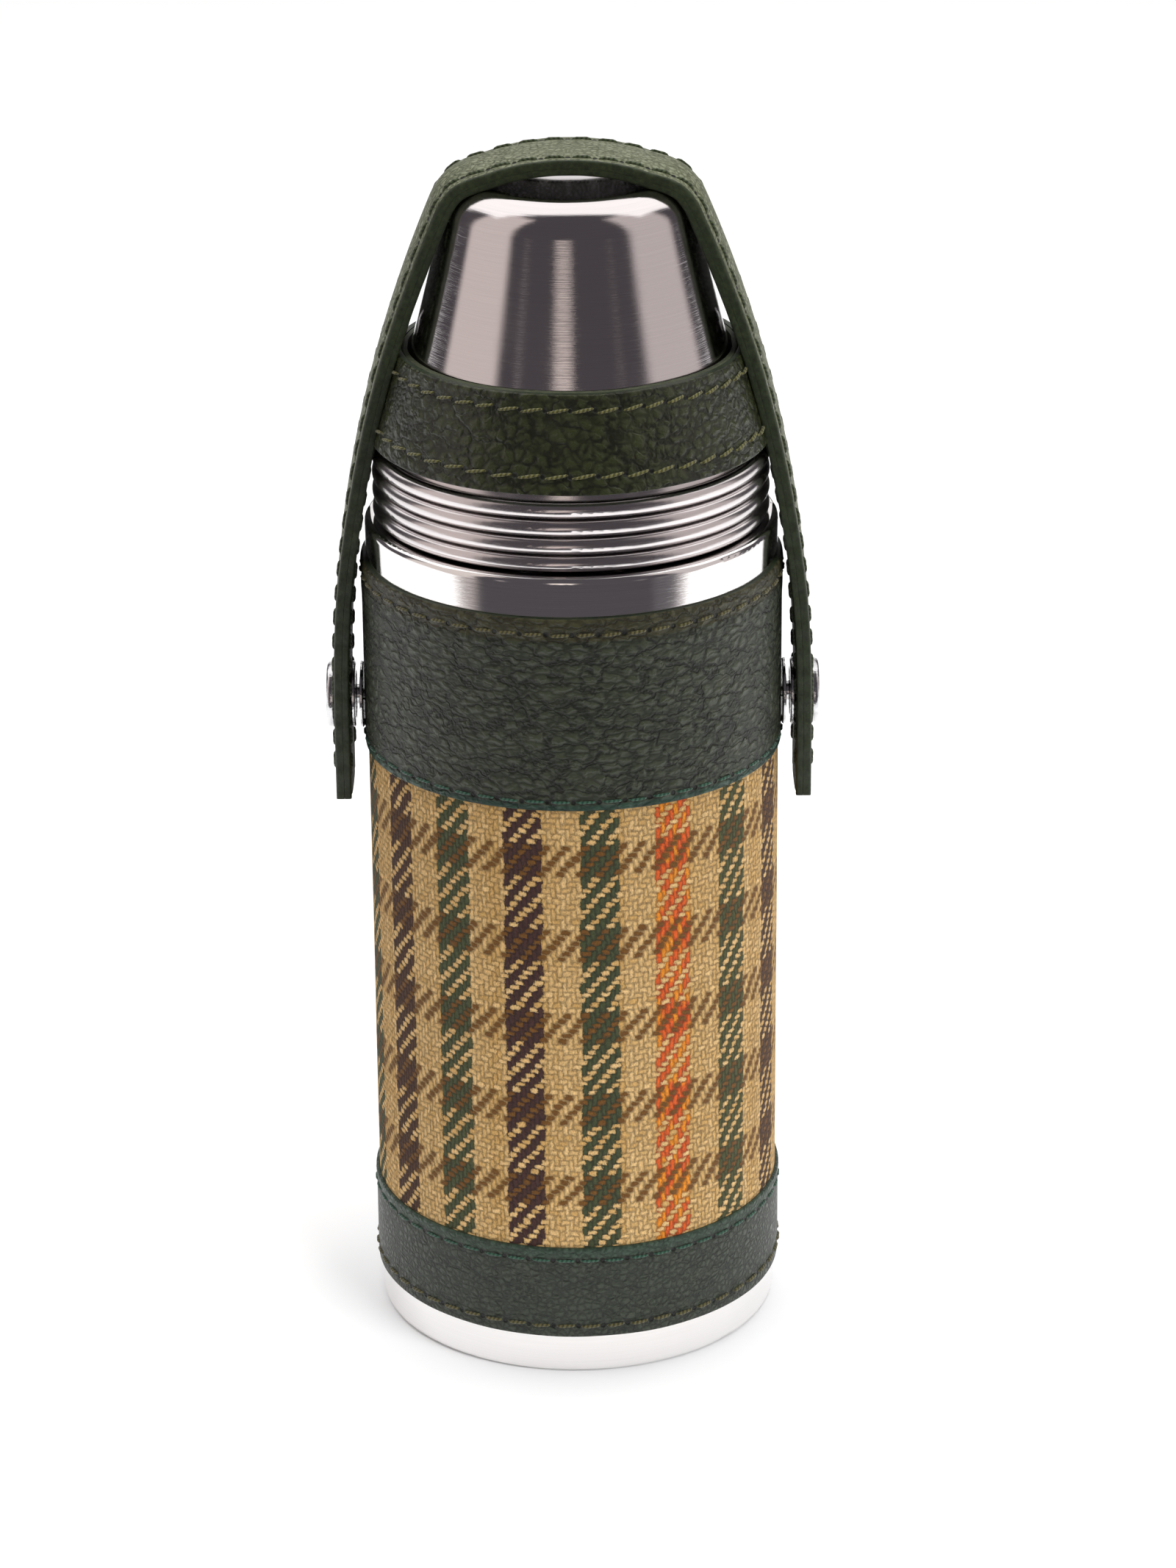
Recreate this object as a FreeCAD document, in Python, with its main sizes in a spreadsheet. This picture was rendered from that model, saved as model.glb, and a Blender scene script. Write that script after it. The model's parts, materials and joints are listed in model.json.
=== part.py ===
import FreeCAD, Part
import math
import os
import re
import Sketcher

# A round hunter's flask: a steel bottle in a tweed and leather cover, a screw cap, four steel cups that
# nest upside down over the cap, and a leather carry harness that buttons to the cover at both sides.
# Millimetres. +Z is up along the bottle's axis, the origin is the middle of the base, and the carry strap
# lies in the XZ plane.

Vector = FreeCAD.Vector
doc = FreeCAD.newDocument("hunter_flask")

# ------------------------------------------------------------------------------ driving dimensions

DIMENSIONS = [
    # the steel bottle
    ("tube_radius", 31.0, "outer radius of the bottle wall"),
    ("tube_wall", 0.6, "sheet thickness of the bottle wall"),
    ("band_radius", 32.35, "outer radius of the polished base and shoulder bands"),
    ("base_height", 6.5, "height of the polished base band"),
    ("base_recess", 2.0, "depth of the hollow under the base"),
    ("floor_wall", 0.8, "sheet thickness of the base"),
    ("foot_inner_radius", 26.5, "inner radius of the ring the bottle stands on"),
    ("foot_slope", 1.5, "width of the slope from the foot ring up into the hollow"),
    ("shoulder_bottom", 129.0, "height where the cover ends and the shoulder band starts"),
    ("shoulder_top", 135.25, "height of the ledge the cups stand on"),
    ("shoulder_wall", 0.7, "sheet thickness of the shoulder dome"),
    ("dome_radius", 28.2, "radius where the dome leaves the ledge"),
    ("dome_top", 143.9, "height of the dome where the neck passes through it"),
    ("dome_curve", 34.0, "radius of the dome's section"),
    ("edge_round", 1.0, "rounding of the polished edges"),
    # the filler neck and its thread
    ("neck_radius", 11.2, "outer radius of the neck at the root of its thread"),
    ("neck_bore", 9.8, "radius of the filler hole"),
    ("neck_bottom", 141.6, "lower end of the neck, inside the dome"),
    ("neck_top", 157.0, "mouth of the neck"),
    ("neck_flange", 12.8, "radius of the neck's welding flange"),
    ("flange_wall", 0.9, "thickness of the welding flange"),
    ("thread_pitch", 3.0, "lift of the cap in one turn"),
    ("thread_turns", 1.25, "turns of thread on the neck and in the cap"),
    ("thread_depth", 0.9, "height of a thread ridge"),
    ("thread_root", 1.1, "width of a thread ridge at its root"),
    ("thread_crest", 0.5, "width of a thread ridge at its crest"),
    ("thread_sunk", 0.2, "depth a thread ridge reaches into its wall"),
    ("neck_thread_start", 149.7, "height of the neck's first thread ridge"),
    # the screw cap
    ("gasket_radius", 12.1, "radius of the sealing disc"),
    ("gasket_wall", 1.4, "thickness of the sealing disc"),
    ("insert_bore", 12.3, "inner radius of the threaded insert"),
    ("insert_radius", 13.6, "outer radius of the threaded insert"),
    ("insert_bottom", 146.9, "lower edge of the threaded insert"),
    ("insert_top_wall", 1.2, "thickness of the insert's top"),
    ("cap_radius", 14.5, "outer radius of the cap shell"),
    ("cap_bottom", 146.4, "lower edge of the cap shell"),
    ("cap_top_wall", 0.6, "thickness of the cap shell's top"),
    ("cap_fit", 0.05, "play between the cap's glued and pressed pieces"),
    ("flute_radius", 0.55, "radius of one grip flute"),
    ("flute_depth", 0.3, "depth of one grip flute"),
    ("flute_stop", 2.5, "smooth height left above the grip flutes"),
    ("flute_count", 36, "number of grip flutes"),
    # the cups
    ("cup_height", 44.61, "height of a cup"),
    ("cup_wall", 0.6, "sheet thickness of a cup"),
    ("cup_end_radius", 17.8, "radius of the closed end, before its rounding"),
    ("cup_taper", 14.5, "angle between the cup's side and its axis"),
    ("cup_end_round", 6.0, "rounding of the closed end"),
    ("bead_radius", 1.3, "radius of the rolled rim"),
    ("bead_close", 128.0, "angle at which the rolled rim ends, from straight out"),
    ("cup_rest", 135.5, "height of the innermost cup's rim"),
    ("nest_step", 2.83, "height from one cup's rim to the next"),
    # the cover
    ("backing_wall", 0.8, "thickness of the cover's backing"),
    ("tweed_wall", 0.75, "thickness of the tweed"),
    ("leather_radius", 33.1, "outer radius of the leather bands"),
    ("lower_band_top", 22.6, "upper edge of the lower leather band"),
    ("upper_band_bottom", 97.7, "lower edge of the upper leather band"),
    ("tweed_tuck", 4.0, "width of tweed under each leather band"),
    ("glue_gap", 0.05, "play between glued layers"),
    ("metal_gap", 0.02, "play between a rivet or button and the leather it grips"),
    # the harness
    ("collar_bottom", 148.2, "lower edge of the collar"),
    ("collar_top", 162.5, "upper edge of the collar"),
    ("collar_bottom_radius", 31.2, "outer radius of the collar's lower edge"),
    ("collar_top_radius", 27.15, "outer radius of the collar's upper edge"),
    ("collar_outer_ply", 1.15, "thickness of the collar's outer leather, measured level"),
    ("collar_lining_ply", 0.9, "thickness of the collar's lining, measured level"),
    ("collar_flat_angle", 4.8, "reach of the collar's flat along the strap's side curve"),
    ("strap_width", 14.5, "width of the carry strap"),
    ("strap_outer_ply", 1.3, "thickness of the strap's outer leather"),
    ("strap_lining_ply", 1.1, "thickness of the strap's lining"),
    ("strap_half_span", 36.35, "distance of the strap's middle layer from the axis at the buttons"),
    ("strap_bend_height", 105.5, "height where the strap's long side curve starts"),
    ("strap_corner_across", 12.9, "distance from the axis of the centre of the strap's corner bend"),
    ("strap_corner_height", 182.45, "height of the centre of the strap's corner bend"),
    ("strap_corner_radius", 7.6, "radius of the strap where it turns over the cups"),
    ("strap_top", 192.05, "height of the strap's middle layer over the cups"),
    ("strap_end_height", 89.6, "height of the strap's cut ends"),
    ("strap_hinge_angle", 11.86, "place along the side curve where the free tail starts"),
    ("strap_hinge_slit", 0.06, "angle left free between tail and arch"),
    ("rivet_height", 166.0, "height of the harness rivets"),
    ("rivet_radius", 2.9, "radius of a harness rivet's head"),
    ("rivet_head", 1.2, "height of a harness rivet's head"),
    ("rivet_crown", 1.3, "radius of the flat middle of a harness rivet's head"),
    ("rivet_edge", 0.3, "thickness of a harness rivet's head at its edge"),
    ("rivet_shank", 1.1, "radius of a harness rivet's shank"),
    ("rivet_hole", 1.38, "radius of a rivet's hole in the lining"),
    # the press studs, as distances outwards from the axis
    ("snap_height", 104.7, "height of the press studs"),
    ("snap_flange_radius", 5.3, "radius of the stud's and the socket's flanges"),
    ("post_flange_radius", 4.0, "radius of the flange behind the leather"),
    ("post_flange_wall", 0.4, "thickness of the flange behind the leather"),
    ("post_radius", 0.95, "radius of the tubular post"),
    ("post_bore", 0.55, "radius of the hole in the post"),
    ("post_board", 31.1, "distance of the post's flange from the axis"),
    ("post_curl", 0.3, "height the post stands out of the stud's flange"),
    ("stud_face", 33.15, "distance of the stud's flange from the axis"),
    ("stud_flange_wall", 0.5, "thickness of the stud's flange"),
    ("stud_boss_radius", 2.7, "radius of the stud's raised middle"),
    ("stud_neck_radius", 1.55, "radius of the stud behind its head"),
    ("stud_head_radius", 1.95, "radius of the stud's head"),
    ("stud_tip", 34.9, "distance of the stud's tip from the axis"),
    ("stud_step", 0.2, "height of the stud's raised middle"),
    ("stud_bevel", 0.4, "slope of the stud's raised middle and of its tip"),
    ("stud_undercut", 0.15, "height of the slope under the stud's head"),
    ("flange_bevel", 0.2, "rounding of the stud's and the socket's flange edges"),
    ("socket_mouth", 34.4, "distance of the socket's mouth from the axis"),
    ("socket_bore", 3.8, "inner radius of the socket"),
    ("socket_depth", 0.55, "depth of the socket"),
    ("socket_edge", 0.5, "height of the socket's edge"),
    ("socket_shoulder", 0.6, "slope of the socket's back"),
    ("spring_radius", 2.45, "radius of the socket's ring spring"),
    ("spring_wire", 0.2, "wire radius of the ring spring"),
    ("spring_sweep", 310, "angle the open ring spring goes round"),
    ("button_radius", 5.2, "radius of the outer button"),
    ("button_height", 1.35, "height of the outer button"),
    ("button_round", 0.7, "rounding of the button's outer edge"),
    ("button_lip", 0.3, "slope of the button's inner edge"),
    ("button_post", 1.2, "radius of the button's post"),
]

dims = doc.addObject("Spreadsheet::Sheet", "dims")
for row, (alias, number, meaning) in enumerate(DIMENSIONS, start=1):
    dims.set(f"A{row}", meaning)
    dims.set(f"B{row}", str(number))
    dims.setAlias(f"B{row}", alias)
doc.recompute()

# A scratch object whose one number takes any expression, for a sketch's starting positions.
probe = doc.addObject("App::FeaturePython", "probe")
probe.addProperty("App::PropertyFloat", "number")

# ------------------------------------------------------------------------------ modelling helpers

subparts = []


def bound(expression):
    """The expression with each dimension's name spelt as the spreadsheet cell."""
    return re.sub(r"\b[a-z]+(?:_[a-z]+)+\b", r"dims.\g<0>", str(expression))


def number_of(expression):
    """The present value of an expression."""
    probe.setExpression("number", bound(expression))
    probe.recompute()
    return probe.number


def subpart(name):
    """An empty body that is exported under this name."""
    body = doc.addObject("PartDesign::Body", name)
    body.Label = name
    subparts.append(body)
    return body


def attach(sketch, body, role):
    """Puts a sketch on one of its own body's origin planes."""
    plane = [feature for feature in body.Origin.OriginFeatures if feature.Role == role][0]
    sketch.AttachmentSupport = (plane, [""])
    sketch.MapMode = "FlatFace"


def bind(sketch, constraint, name, expression):
    """Adds a dimension to a sketch and binds it to the sheet."""
    sketch.renameConstraint(sketch.addConstraint(constraint), name)
    sketch.setExpression(f"Constraints.{name}", bound(expression))


def outline(body, name, corners, role="XZ_Plane"):
    """A closed sketch through the corners, all bound to the sheet. A corner is (x, y) when a straight
    edge leaves it, or (x, y, radius, turn) when an arc does, with turn +1 to the left and -1 right."""
    sketch = body.newObject("Sketcher::SketchObject", name)
    attach(sketch, body, role)
    points = [Vector(number_of(corner[0]), number_of(corner[1]), 0) for corner in corners]
    starts, ends = [], []
    for index, corner in enumerate(corners):
        here, there = points[index], points[(index + 1) % len(points)]
        if len(corner) == 2:
            sketch.addGeometry(Part.LineSegment(here, there), False)
            starts.append(1)
            ends.append(2)
            continue
        radius, turn = number_of(corner[2]), corner[3]
        half = (there - here) * 0.5
        rise = math.sqrt(max(radius**2 - half.Length**2, 0))
        centre = here + half + Vector(-half.y, half.x, 0).normalize() * rise * turn
        first, last = (here, there) if turn > 0 else (there, here)
        start_angle = math.atan2(first.y - centre.y, first.x - centre.x)
        end_angle = math.atan2(last.y - centre.y, last.x - centre.x)
        circle = Part.Circle(centre, Vector(0, 0, 1), radius)
        sketch.addGeometry(Part.ArcOfCircle(circle, start_angle, end_angle), False)
        starts.append(1 if turn > 0 else 2)
        ends.append(2 if turn > 0 else 1)
    for index in range(len(corners)):
        after = (index + 1) % len(corners)
        sketch.addConstraint(
            Sketcher.Constraint("Coincident", index, ends[index], after, starts[after])
        )
    for index, corner in enumerate(corners):
        at = (-1, 1, index, starts[index])
        along = Sketcher.Constraint("DistanceX", *at, points[index].x)
        up = Sketcher.Constraint("DistanceY", *at, points[index].y)
        bind(sketch, along, f"across_{index}", corner[0])
        bind(sketch, up, f"up_{index}", corner[1])
        if len(corner) == 4:
            bend = Sketcher.Constraint("Radius", index, number_of(corner[2]))
            bind(sketch, bend, f"radius_{index}", corner[2])
    return sketch


def circle(body, name, role, x, y, radius):
    """A sketch of one circle, bound to the sheet."""
    sketch = body.newObject("Sketcher::SketchObject", name)
    attach(sketch, body, role)
    centre = Vector(number_of(x), number_of(y), 0)
    sketch.addGeometry(Part.Circle(centre, Vector(0, 0, 1), number_of(radius)), False)
    bind(sketch, Sketcher.Constraint("DistanceX", -1, 1, 0, 3, centre.x), "across", x)
    bind(sketch, Sketcher.Constraint("DistanceY", -1, 1, 0, 3, centre.y), "up", y)
    bind(sketch, Sketcher.Constraint("Radius", 0, number_of(radius)), "radius", radius)
    return sketch


def spin(body, name, corners):
    """A solid of revolution about the body's own Z axis."""
    sketch = outline(body, name + "_section", corners)
    feature = body.newObject("PartDesign::Revolution", name)
    feature.Profile = sketch
    feature.ReferenceAxis = (sketch, ["V_Axis"])
    feature.Angle = 360
    doc.recompute()


def ribbon(body, name, corners):
    """A strap's side view, made as wide as the strap, evenly to both sides of the XZ plane."""
    feature = body.newObject("PartDesign::Pad", name)
    feature.Profile = outline(body, name + "_side", corners)
    feature.Midplane = True
    feature.setExpression("Length", bound("strap_width"))
    doc.recompute()


def bore_through(body, name, sketch):
    """Cuts a sketch through the whole body both ways, and checks that something was cut."""
    before = body.Shape.Volume
    feature = body.newObject("PartDesign::Pocket", name)
    feature.Profile = sketch
    feature.Midplane = True
    feature.Type = "ThroughAll"
    doc.recompute()
    if body.Shape.Volume >= before - 1e-6:
        raise RuntimeError(f"{name} cuts nothing")


def ring(body, name, inner, outer, low, high):
    """A plain ring of rectangular section."""
    spin(body, name, [(inner, low), (outer, low), (outer, high), (inner, high)])


def thread(body, name, radius, inward, start):
    """One helical ridge on a cylinder of the given radius, growing outwards or inwards."""
    crest = f"{radius} {'-' if inward else '+'} thread_depth"
    sunk = f"{radius} {'+' if inward else '-'} thread_sunk"
    sketch = outline(body, name + "_section", [
        (sunk, f"{start} - thread_root / 2"),
        (crest, f"{start} - thread_crest / 2"),
        (crest, f"{start} + thread_crest / 2"),
        (sunk, f"{start} + thread_root / 2"),
    ])
    feature = body.newObject("PartDesign::AdditiveHelix", name)
    feature.Profile = sketch
    feature.ReferenceAxis = (sketch, ["V_Axis"])
    feature.Mode = "pitch-turns-angle"
    feature.setExpression("Pitch", bound("thread_pitch"))
    feature.setExpression("Turns", bound("thread_turns"))
    doc.recompute()


# ------------------------------------------------------------------------------ the steel bottle


def flask_tube():
    ring(subpart("flask_tube"), "wall", "tube_radius - tube_wall", "tube_radius",
         "floor_wall + glue_gap", "shoulder_top - shoulder_wall - glue_gap")


def base_pan():
    inside = "tube_radius + glue_gap"
    spin(subpart("base_pan"), "pressing", [
        (0, "base_recess"),
        ("foot_inner_radius - foot_slope", "base_recess"),
        ("foot_inner_radius", 0),
        ("band_radius - edge_round", 0, "edge_round", 1),
        ("band_radius", "edge_round"),
        ("band_radius", "base_height - glue_gap"),
        (inside, "base_height - glue_gap"),
        (inside, "floor_wall"),
        ("foot_inner_radius + floor_wall", "floor_wall"),
        ("foot_inner_radius + floor_wall - foot_slope", "base_recess + floor_wall"),
        (0, "base_recess + floor_wall"),
    ])


def shoulder():
    inside = "tube_radius + glue_gap"
    hole = "neck_radius + glue_gap"
    under = "shoulder_top - shoulder_wall"
    spin(subpart("shoulder"), "pressing", [
        (inside, "shoulder_bottom + glue_gap"),
        ("band_radius", "shoulder_bottom + glue_gap"),
        ("band_radius", "shoulder_top - edge_round", "edge_round", 1),
        ("band_radius - edge_round", "shoulder_top"),
        ("dome_radius", "shoulder_top", "dome_curve", 1),
        (hole, "dome_top"),
        (hole, "dome_top - shoulder_wall", "dome_curve - shoulder_wall", -1),
        ("dome_radius - shoulder_wall", under),
        (inside, under),
    ])


def filler_neck():
    body = subpart("filler_neck")
    spin(body, "spout", [
        ("neck_bore", "neck_bottom"),
        ("neck_radius", "neck_bottom"),
        ("neck_radius", "dome_top + glue_gap"),
        ("neck_flange", "dome_top + glue_gap"),
        ("neck_flange", "dome_top + glue_gap + flange_wall"),
        ("neck_radius", "dome_top + glue_gap + flange_wall"),
        ("neck_radius", "neck_top"),
        ("neck_bore", "neck_top"),
    ])
    thread(body, "neck_thread", "neck_radius", False, "neck_thread_start")


# ------------------------------------------------------------------------------ the screw cap


def cap_gasket():
    spin(subpart("cap_gasket"), "disc", [
        (0, "neck_top"),
        ("gasket_radius", "neck_top"),
        ("gasket_radius", "neck_top + gasket_wall"),
        (0, "neck_top + gasket_wall"),
    ])


def cap_thread_insert():
    body = subpart("cap_thread_insert")
    ceiling = "neck_top + gasket_wall + cap_fit"
    spin(body, "sleeve", [
        ("insert_bore", "insert_bottom"),
        ("insert_radius", "insert_bottom"),
        ("insert_radius", f"{ceiling} + insert_top_wall"),
        (0, f"{ceiling} + insert_top_wall"),
        (0, ceiling),
        ("insert_bore", ceiling),
    ])
    thread(body, "cap_thread", "insert_bore", True, "neck_thread_start - thread_pitch / 2")


def cap_shell():
    body = subpart("cap_shell")
    inner = "insert_radius + cap_fit"
    ceiling = "neck_top + gasket_wall + insert_top_wall + 2 * cap_fit"
    top = f"{ceiling} + cap_top_wall"
    spin(body, "shell", [
        (inner, "cap_bottom"),
        ("cap_radius", "cap_bottom"),
        ("cap_radius", f"{top} - edge_round", "edge_round", 1),
        ("cap_radius - edge_round", top),
        (0, top),
        (0, ceiling),
        (inner, ceiling),
    ])
    flute = body.newObject("PartDesign::Pocket", "flute")
    flute.Profile = circle(body, "flute_section", "XY_Plane", "cap_radius + flute_radius - flute_depth", 0,
                           "flute_radius")
    flute.Midplane = True
    flute.setExpression("Length", bound(f"2 * ({top} - flute_stop)"))
    doc.recompute()
    grip = body.newObject("PartDesign::PolarPattern", "grip")
    grip.Originals = [flute]
    grip.Axis = (flute.Profile[0], ["N_Axis"])
    grip.Angle = 360
    grip.setExpression("Occurrences", bound("flute_count"))
    body.Tip = grip
    doc.recompute()


# ------------------------------------------------------------------------------ the four cups


def cup(name, place):
    """A tapered cup, mouth down, with its rim rolled outwards. All four are alike and nest."""
    body = subpart(name)
    side = "(cup_height - bead_radius)"
    slant = "cup_wall / cos(cup_taper)"
    bead_x = f"(cup_end_radius + {side} * tan(cup_taper) - {slant} + bead_radius / cos(cup_taper))"
    roll = "(bead_radius - cup_wall)"
    inner_end = f"cup_end_radius - {slant} + cup_wall * tan(cup_taper)"
    outer_start = (f"{bead_x} - bead_radius * cos(cup_taper)", "bead_radius - bead_radius * sin(cup_taper)")
    inner_start = (f"{bead_x} - {roll} * cos(cup_taper)", f"bead_radius - {roll} * sin(cup_taper)")
    outer_end = (f"{bead_x} + bead_radius * cos(bead_close)", "bead_radius + bead_radius * sin(bead_close)")
    curl_end = (f"{bead_x} + {roll} * cos(bead_close)", f"bead_radius + {roll} * sin(bead_close)")
    inside, outside = "(cup_end_round - cup_wall)", "cup_end_round"
    shorten = "tan((90 - cup_taper) / 2)"
    ceiling = "cup_height - cup_wall"
    spin(body, "drawn_sheet", [
        (0, ceiling),
        (f"{inner_end} - {inside} * {shorten}", ceiling, inside, -1),
        (f"{inner_end} + {inside} * {shorten} * sin(cup_taper)",
         f"{ceiling} - {inside} * {shorten} * cos(cup_taper)"),
        (*outer_start, "bead_radius", 1),
        (f"{bead_x} + bead_radius", "bead_radius", "bead_radius", 1),
        outer_end,
        (*curl_end, roll, -1),
        (f"{bead_x} + {roll}", "bead_radius", roll, -1),
        inner_start,
        (f"cup_end_radius + {outside} * {shorten} * sin(cup_taper)",
         f"cup_height - {outside} * {shorten} * cos(cup_taper)", outside, 1),
        (f"cup_end_radius - {outside} * {shorten}", "cup_height"),
        (0, "cup_height"),
    ])
    body.setExpression("Placement.Base.z", bound(f"cup_rest + {place} * nest_step"))


# ------------------------------------------------------------------------------ the cover


def cover_board():
    body = subpart("cover_board")
    inner = "tube_radius + glue_gap"
    ring(body, "sleeve", inner, "tube_radius + backing_wall", "base_height", "shoulder_bottom")
    bore_through(body, "post_windows", circle(body, "window", "YZ_Plane", 0, "snap_height",
                                              "post_flange_radius + 2 * glue_gap"))


def tweed_sleeve():
    inner = "tube_radius + backing_wall + glue_gap"
    ring(subpart("tweed_sleeve"), "sleeve", inner, f"{inner} + tweed_wall",
         "lower_band_top - tweed_tuck", "upper_band_bottom + tweed_tuck")


def leather_band(name, free_edge, tweed_edge, towards_tweed):
    """A leather ring whose edge at the tweed is pared thin and laps over it."""
    body = subpart(name)
    inner = "tube_radius + backing_wall + glue_gap"
    lap = f"{inner} + tweed_wall + glue_gap"
    step = f"{tweed_edge} - ({towards_tweed}) * (tweed_tuck + glue_gap)"
    corners = [(inner, free_edge), ("leather_radius", free_edge), ("leather_radius", tweed_edge),
               (lap, tweed_edge), (lap, step), (inner, step)]
    spin(body, "band", corners)
    return body


def cover():
    cover_board()
    tweed_sleeve()
    leather_band("lower_leather_band", "base_height", "lower_band_top", 1)
    upper = leather_band("upper_leather_band", "shoulder_bottom", "upper_band_bottom", -1)
    bore_through(upper, "post_holes", circle(upper, "post_hole", "YZ_Plane", 0, "snap_height",
                                             "post_radius + glue_gap"))


# ------------------------------------------------------------------------------ the harness

# The strap's middle layer rises straight from its end, leans in along a long side curve, turns over the
# cup's edge in a tight corner and crosses the top in a flat arch. The corner's centre is set by hand, and
# the side's and the arch's radii follow, because each meets the corner smoothly.
IN = "(strap_corner_across - strap_half_span)"
RISE = "(strap_corner_height - strap_bend_height)"
FALL = "(strap_corner_height - strap_top)"
SIDE_RADIUS = f"((strap_corner_radius^2 - {IN}^2 - {RISE}^2) / (2 * ({IN} + strap_corner_radius)))"
ARCH_RADIUS = (f"((strap_corner_radius^2 - strap_corner_across^2 - {FALL}^2)"
               f" / (2 * ({FALL} + strap_corner_radius)))")
SIDE_CENTRE = f"(strap_half_span - {SIDE_RADIUS})"


def on_side_curve(offset, angle):
    """A point of the strap's long side curve, offset outwards from the strap's middle layer."""
    radius = f"({SIDE_RADIUS} + {offset})"
    return (f"({SIDE_CENTRE} + {radius} * cos({angle}))", f"(strap_bend_height + {radius} * sin({angle}))")


def corner_ends(offset):
    """The two ends of the corner bend, offset outwards from the strap's middle layer."""
    reach = f"(strap_corner_radius + {offset})"
    side = f"({SIDE_RADIUS} - strap_corner_radius)"
    arch = f"({ARCH_RADIUS} - strap_corner_radius)"
    lower = (f"(strap_corner_across + {reach} * (strap_corner_across - {SIDE_CENTRE}) / {side})",
             f"(strap_corner_height + {reach} * {RISE} / {side})")
    upper = (f"(strap_corner_across + {reach} * strap_corner_across / {arch})",
             f"(strap_corner_height + {reach} * ({ARCH_RADIUS} + {FALL}) / {arch})")
    return lower, upper


def mirrored(point):
    """The same point at the other side of the strap."""
    return (f"-{point[0]}", point[1])


def strap_arch(name, inner, outer, hole=None):
    """One layer of the strap from collar to collar over the cups, bored for the rivets if they reach it."""
    corners = []
    for offset, turn in ((inner, 1), (outer, -1)):
        side = (f"{SIDE_RADIUS} + {offset}", turn)
        bend = (f"strap_corner_radius + {offset}", turn)
        over = (f"{ARCH_RADIUS} + {offset}", turn)
        low = on_side_curve(offset, "strap_hinge_angle")
        lower, upper = corner_ends(offset)
        if turn > 0:
            corners += [(*low, *side), (*lower, *bend), (*upper, *over)]
            corners += [(*mirrored(upper), *bend), (*mirrored(lower), *side), mirrored(low)]
        else:
            corners += [(*mirrored(low), *side), (*mirrored(lower), *bend), (*mirrored(upper), *over)]
            corners += [(*upper, *bend), (*lower, *side), low]
    body = subpart(name)
    ribbon(body, "layer", corners)
    if hole:
        bore_through(body, "rivet_holes", circle(body, "hole", "YZ_Plane", 0, "rivet_height", hole))


def strap_tail(name, hand, inner, outer):
    """One layer of a strap tail, from the collar's lower edge to the cut end. hand is +1 or -1."""
    top = "(strap_hinge_angle - strap_hinge_slit)"
    corners = [(f"strap_half_span + {inner}", "strap_end_height")]
    corners += [(f"strap_half_span + {inner}", "strap_bend_height", f"{SIDE_RADIUS} + {inner}", 1)]
    corners += [on_side_curve(inner, top)]
    corners += [(*on_side_curve(outer, top), f"{SIDE_RADIUS} + {outer}", -1)]
    corners += [(f"strap_half_span + {outer}", "strap_bend_height")]
    corners += [(f"strap_half_span + {outer}", "strap_end_height")]
    if hand < 0:
        corners = [(f"-({corner[0]})", corner[1], *corner[2:3], *(-turn for turn in corner[3:]))
                   for corner in corners]
    body = subpart(name)
    ribbon(body, "layer", corners)
    bore_through(body, "button_hole", circle(body, "hole", "YZ_Plane", 0, "snap_height",
                                             "button_post + glue_gap"))


def collar_ply(name, outside, wall):
    """One layer of the tapered collar."""
    body = subpart(name)
    low, high = f"collar_bottom_radius - {outside}", f"collar_top_radius - {outside}"
    spin(body, "cone", [
        (f"{low} - {wall}", "collar_bottom"),
        (low, "collar_bottom"),
        (high, "collar_top"),
        (f"{high} - {wall}", "collar_top"),
    ])
    return body


def collar():
    """The collar's two layers, the outer one with flats where the strap lies against it."""
    outer = collar_ply("collar_outer", 0, "collar_outer_ply")
    collar_ply("collar_lining", "(collar_outer_ply + glue_gap)", "collar_lining_ply")
    inner_face = "-(strap_lining_ply + glue_gap)"
    clear = "(collar_bottom_radius + strap_outer_ply)"
    low = on_side_curve(inner_face, "strap_hinge_angle")
    high = on_side_curve(inner_face, "(strap_hinge_angle + collar_flat_angle)")
    for hand in (1, -1):
        before = outer.Shape.Volume
        flat = outer.newObject("PartDesign::Pocket", f"strap_flat_{'left' if hand < 0 else 'right'}")
        flat.Profile = outline(outer, flat.Name + "_side", [
            (f"{hand} * {low[0]}", low[1]),
            (f"{hand} * {high[0]}", high[1]),
            (f"{hand} * {clear}", high[1]),
            (f"{hand} * {clear}", low[1]),
        ])
        flat.Midplane = True
        flat.setExpression("Length", bound("strap_width"))
        doc.recompute()
        if outer.Shape.Volume >= before - 1e-6:
            raise RuntimeError("the strap's flat cuts nothing")


def turned(name, hand, height, corners, distance=0, lean=0):
    """A small turned piece whose own axis points outwards, at one side of the flask."""
    body = subpart(name)
    spin(body, "turning", corners)
    body.Placement.Rotation = FreeCAD.Rotation(Vector(0, 1, 0), hand * (90 - lean))
    body.setExpression("Placement.Base.x", bound(f"{hand} * ({distance})"))
    body.setExpression("Placement.Base.z", bound(height))
    doc.recompute()


def harness_rivet(name, hand):
    """A domed rivet head on the strap's inner face, just above the collar, with a short shank."""
    angle = math.degrees(math.asin((number_of("rivet_height") - number_of("strap_bend_height"))
                                   / number_of(SIDE_RADIUS)))
    face = "strap_lining_ply"
    turned(name, hand, "rivet_height", [
        (0, f"-{face} - rivet_head"),
        ("rivet_crown", f"-{face} - rivet_head", "rivet_radius", 1),
        ("rivet_radius", f"-{face} - rivet_edge"),
        ("rivet_radius", f"-{face} - metal_gap"),
        ("rivet_shank", f"-{face} - metal_gap"),
        ("rivet_shank", "-glue_gap"),
        (0, "-glue_gap"),
    ], distance=f"{SIDE_CENTRE} + {SIDE_RADIUS} * cos({angle})", lean=angle)


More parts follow.
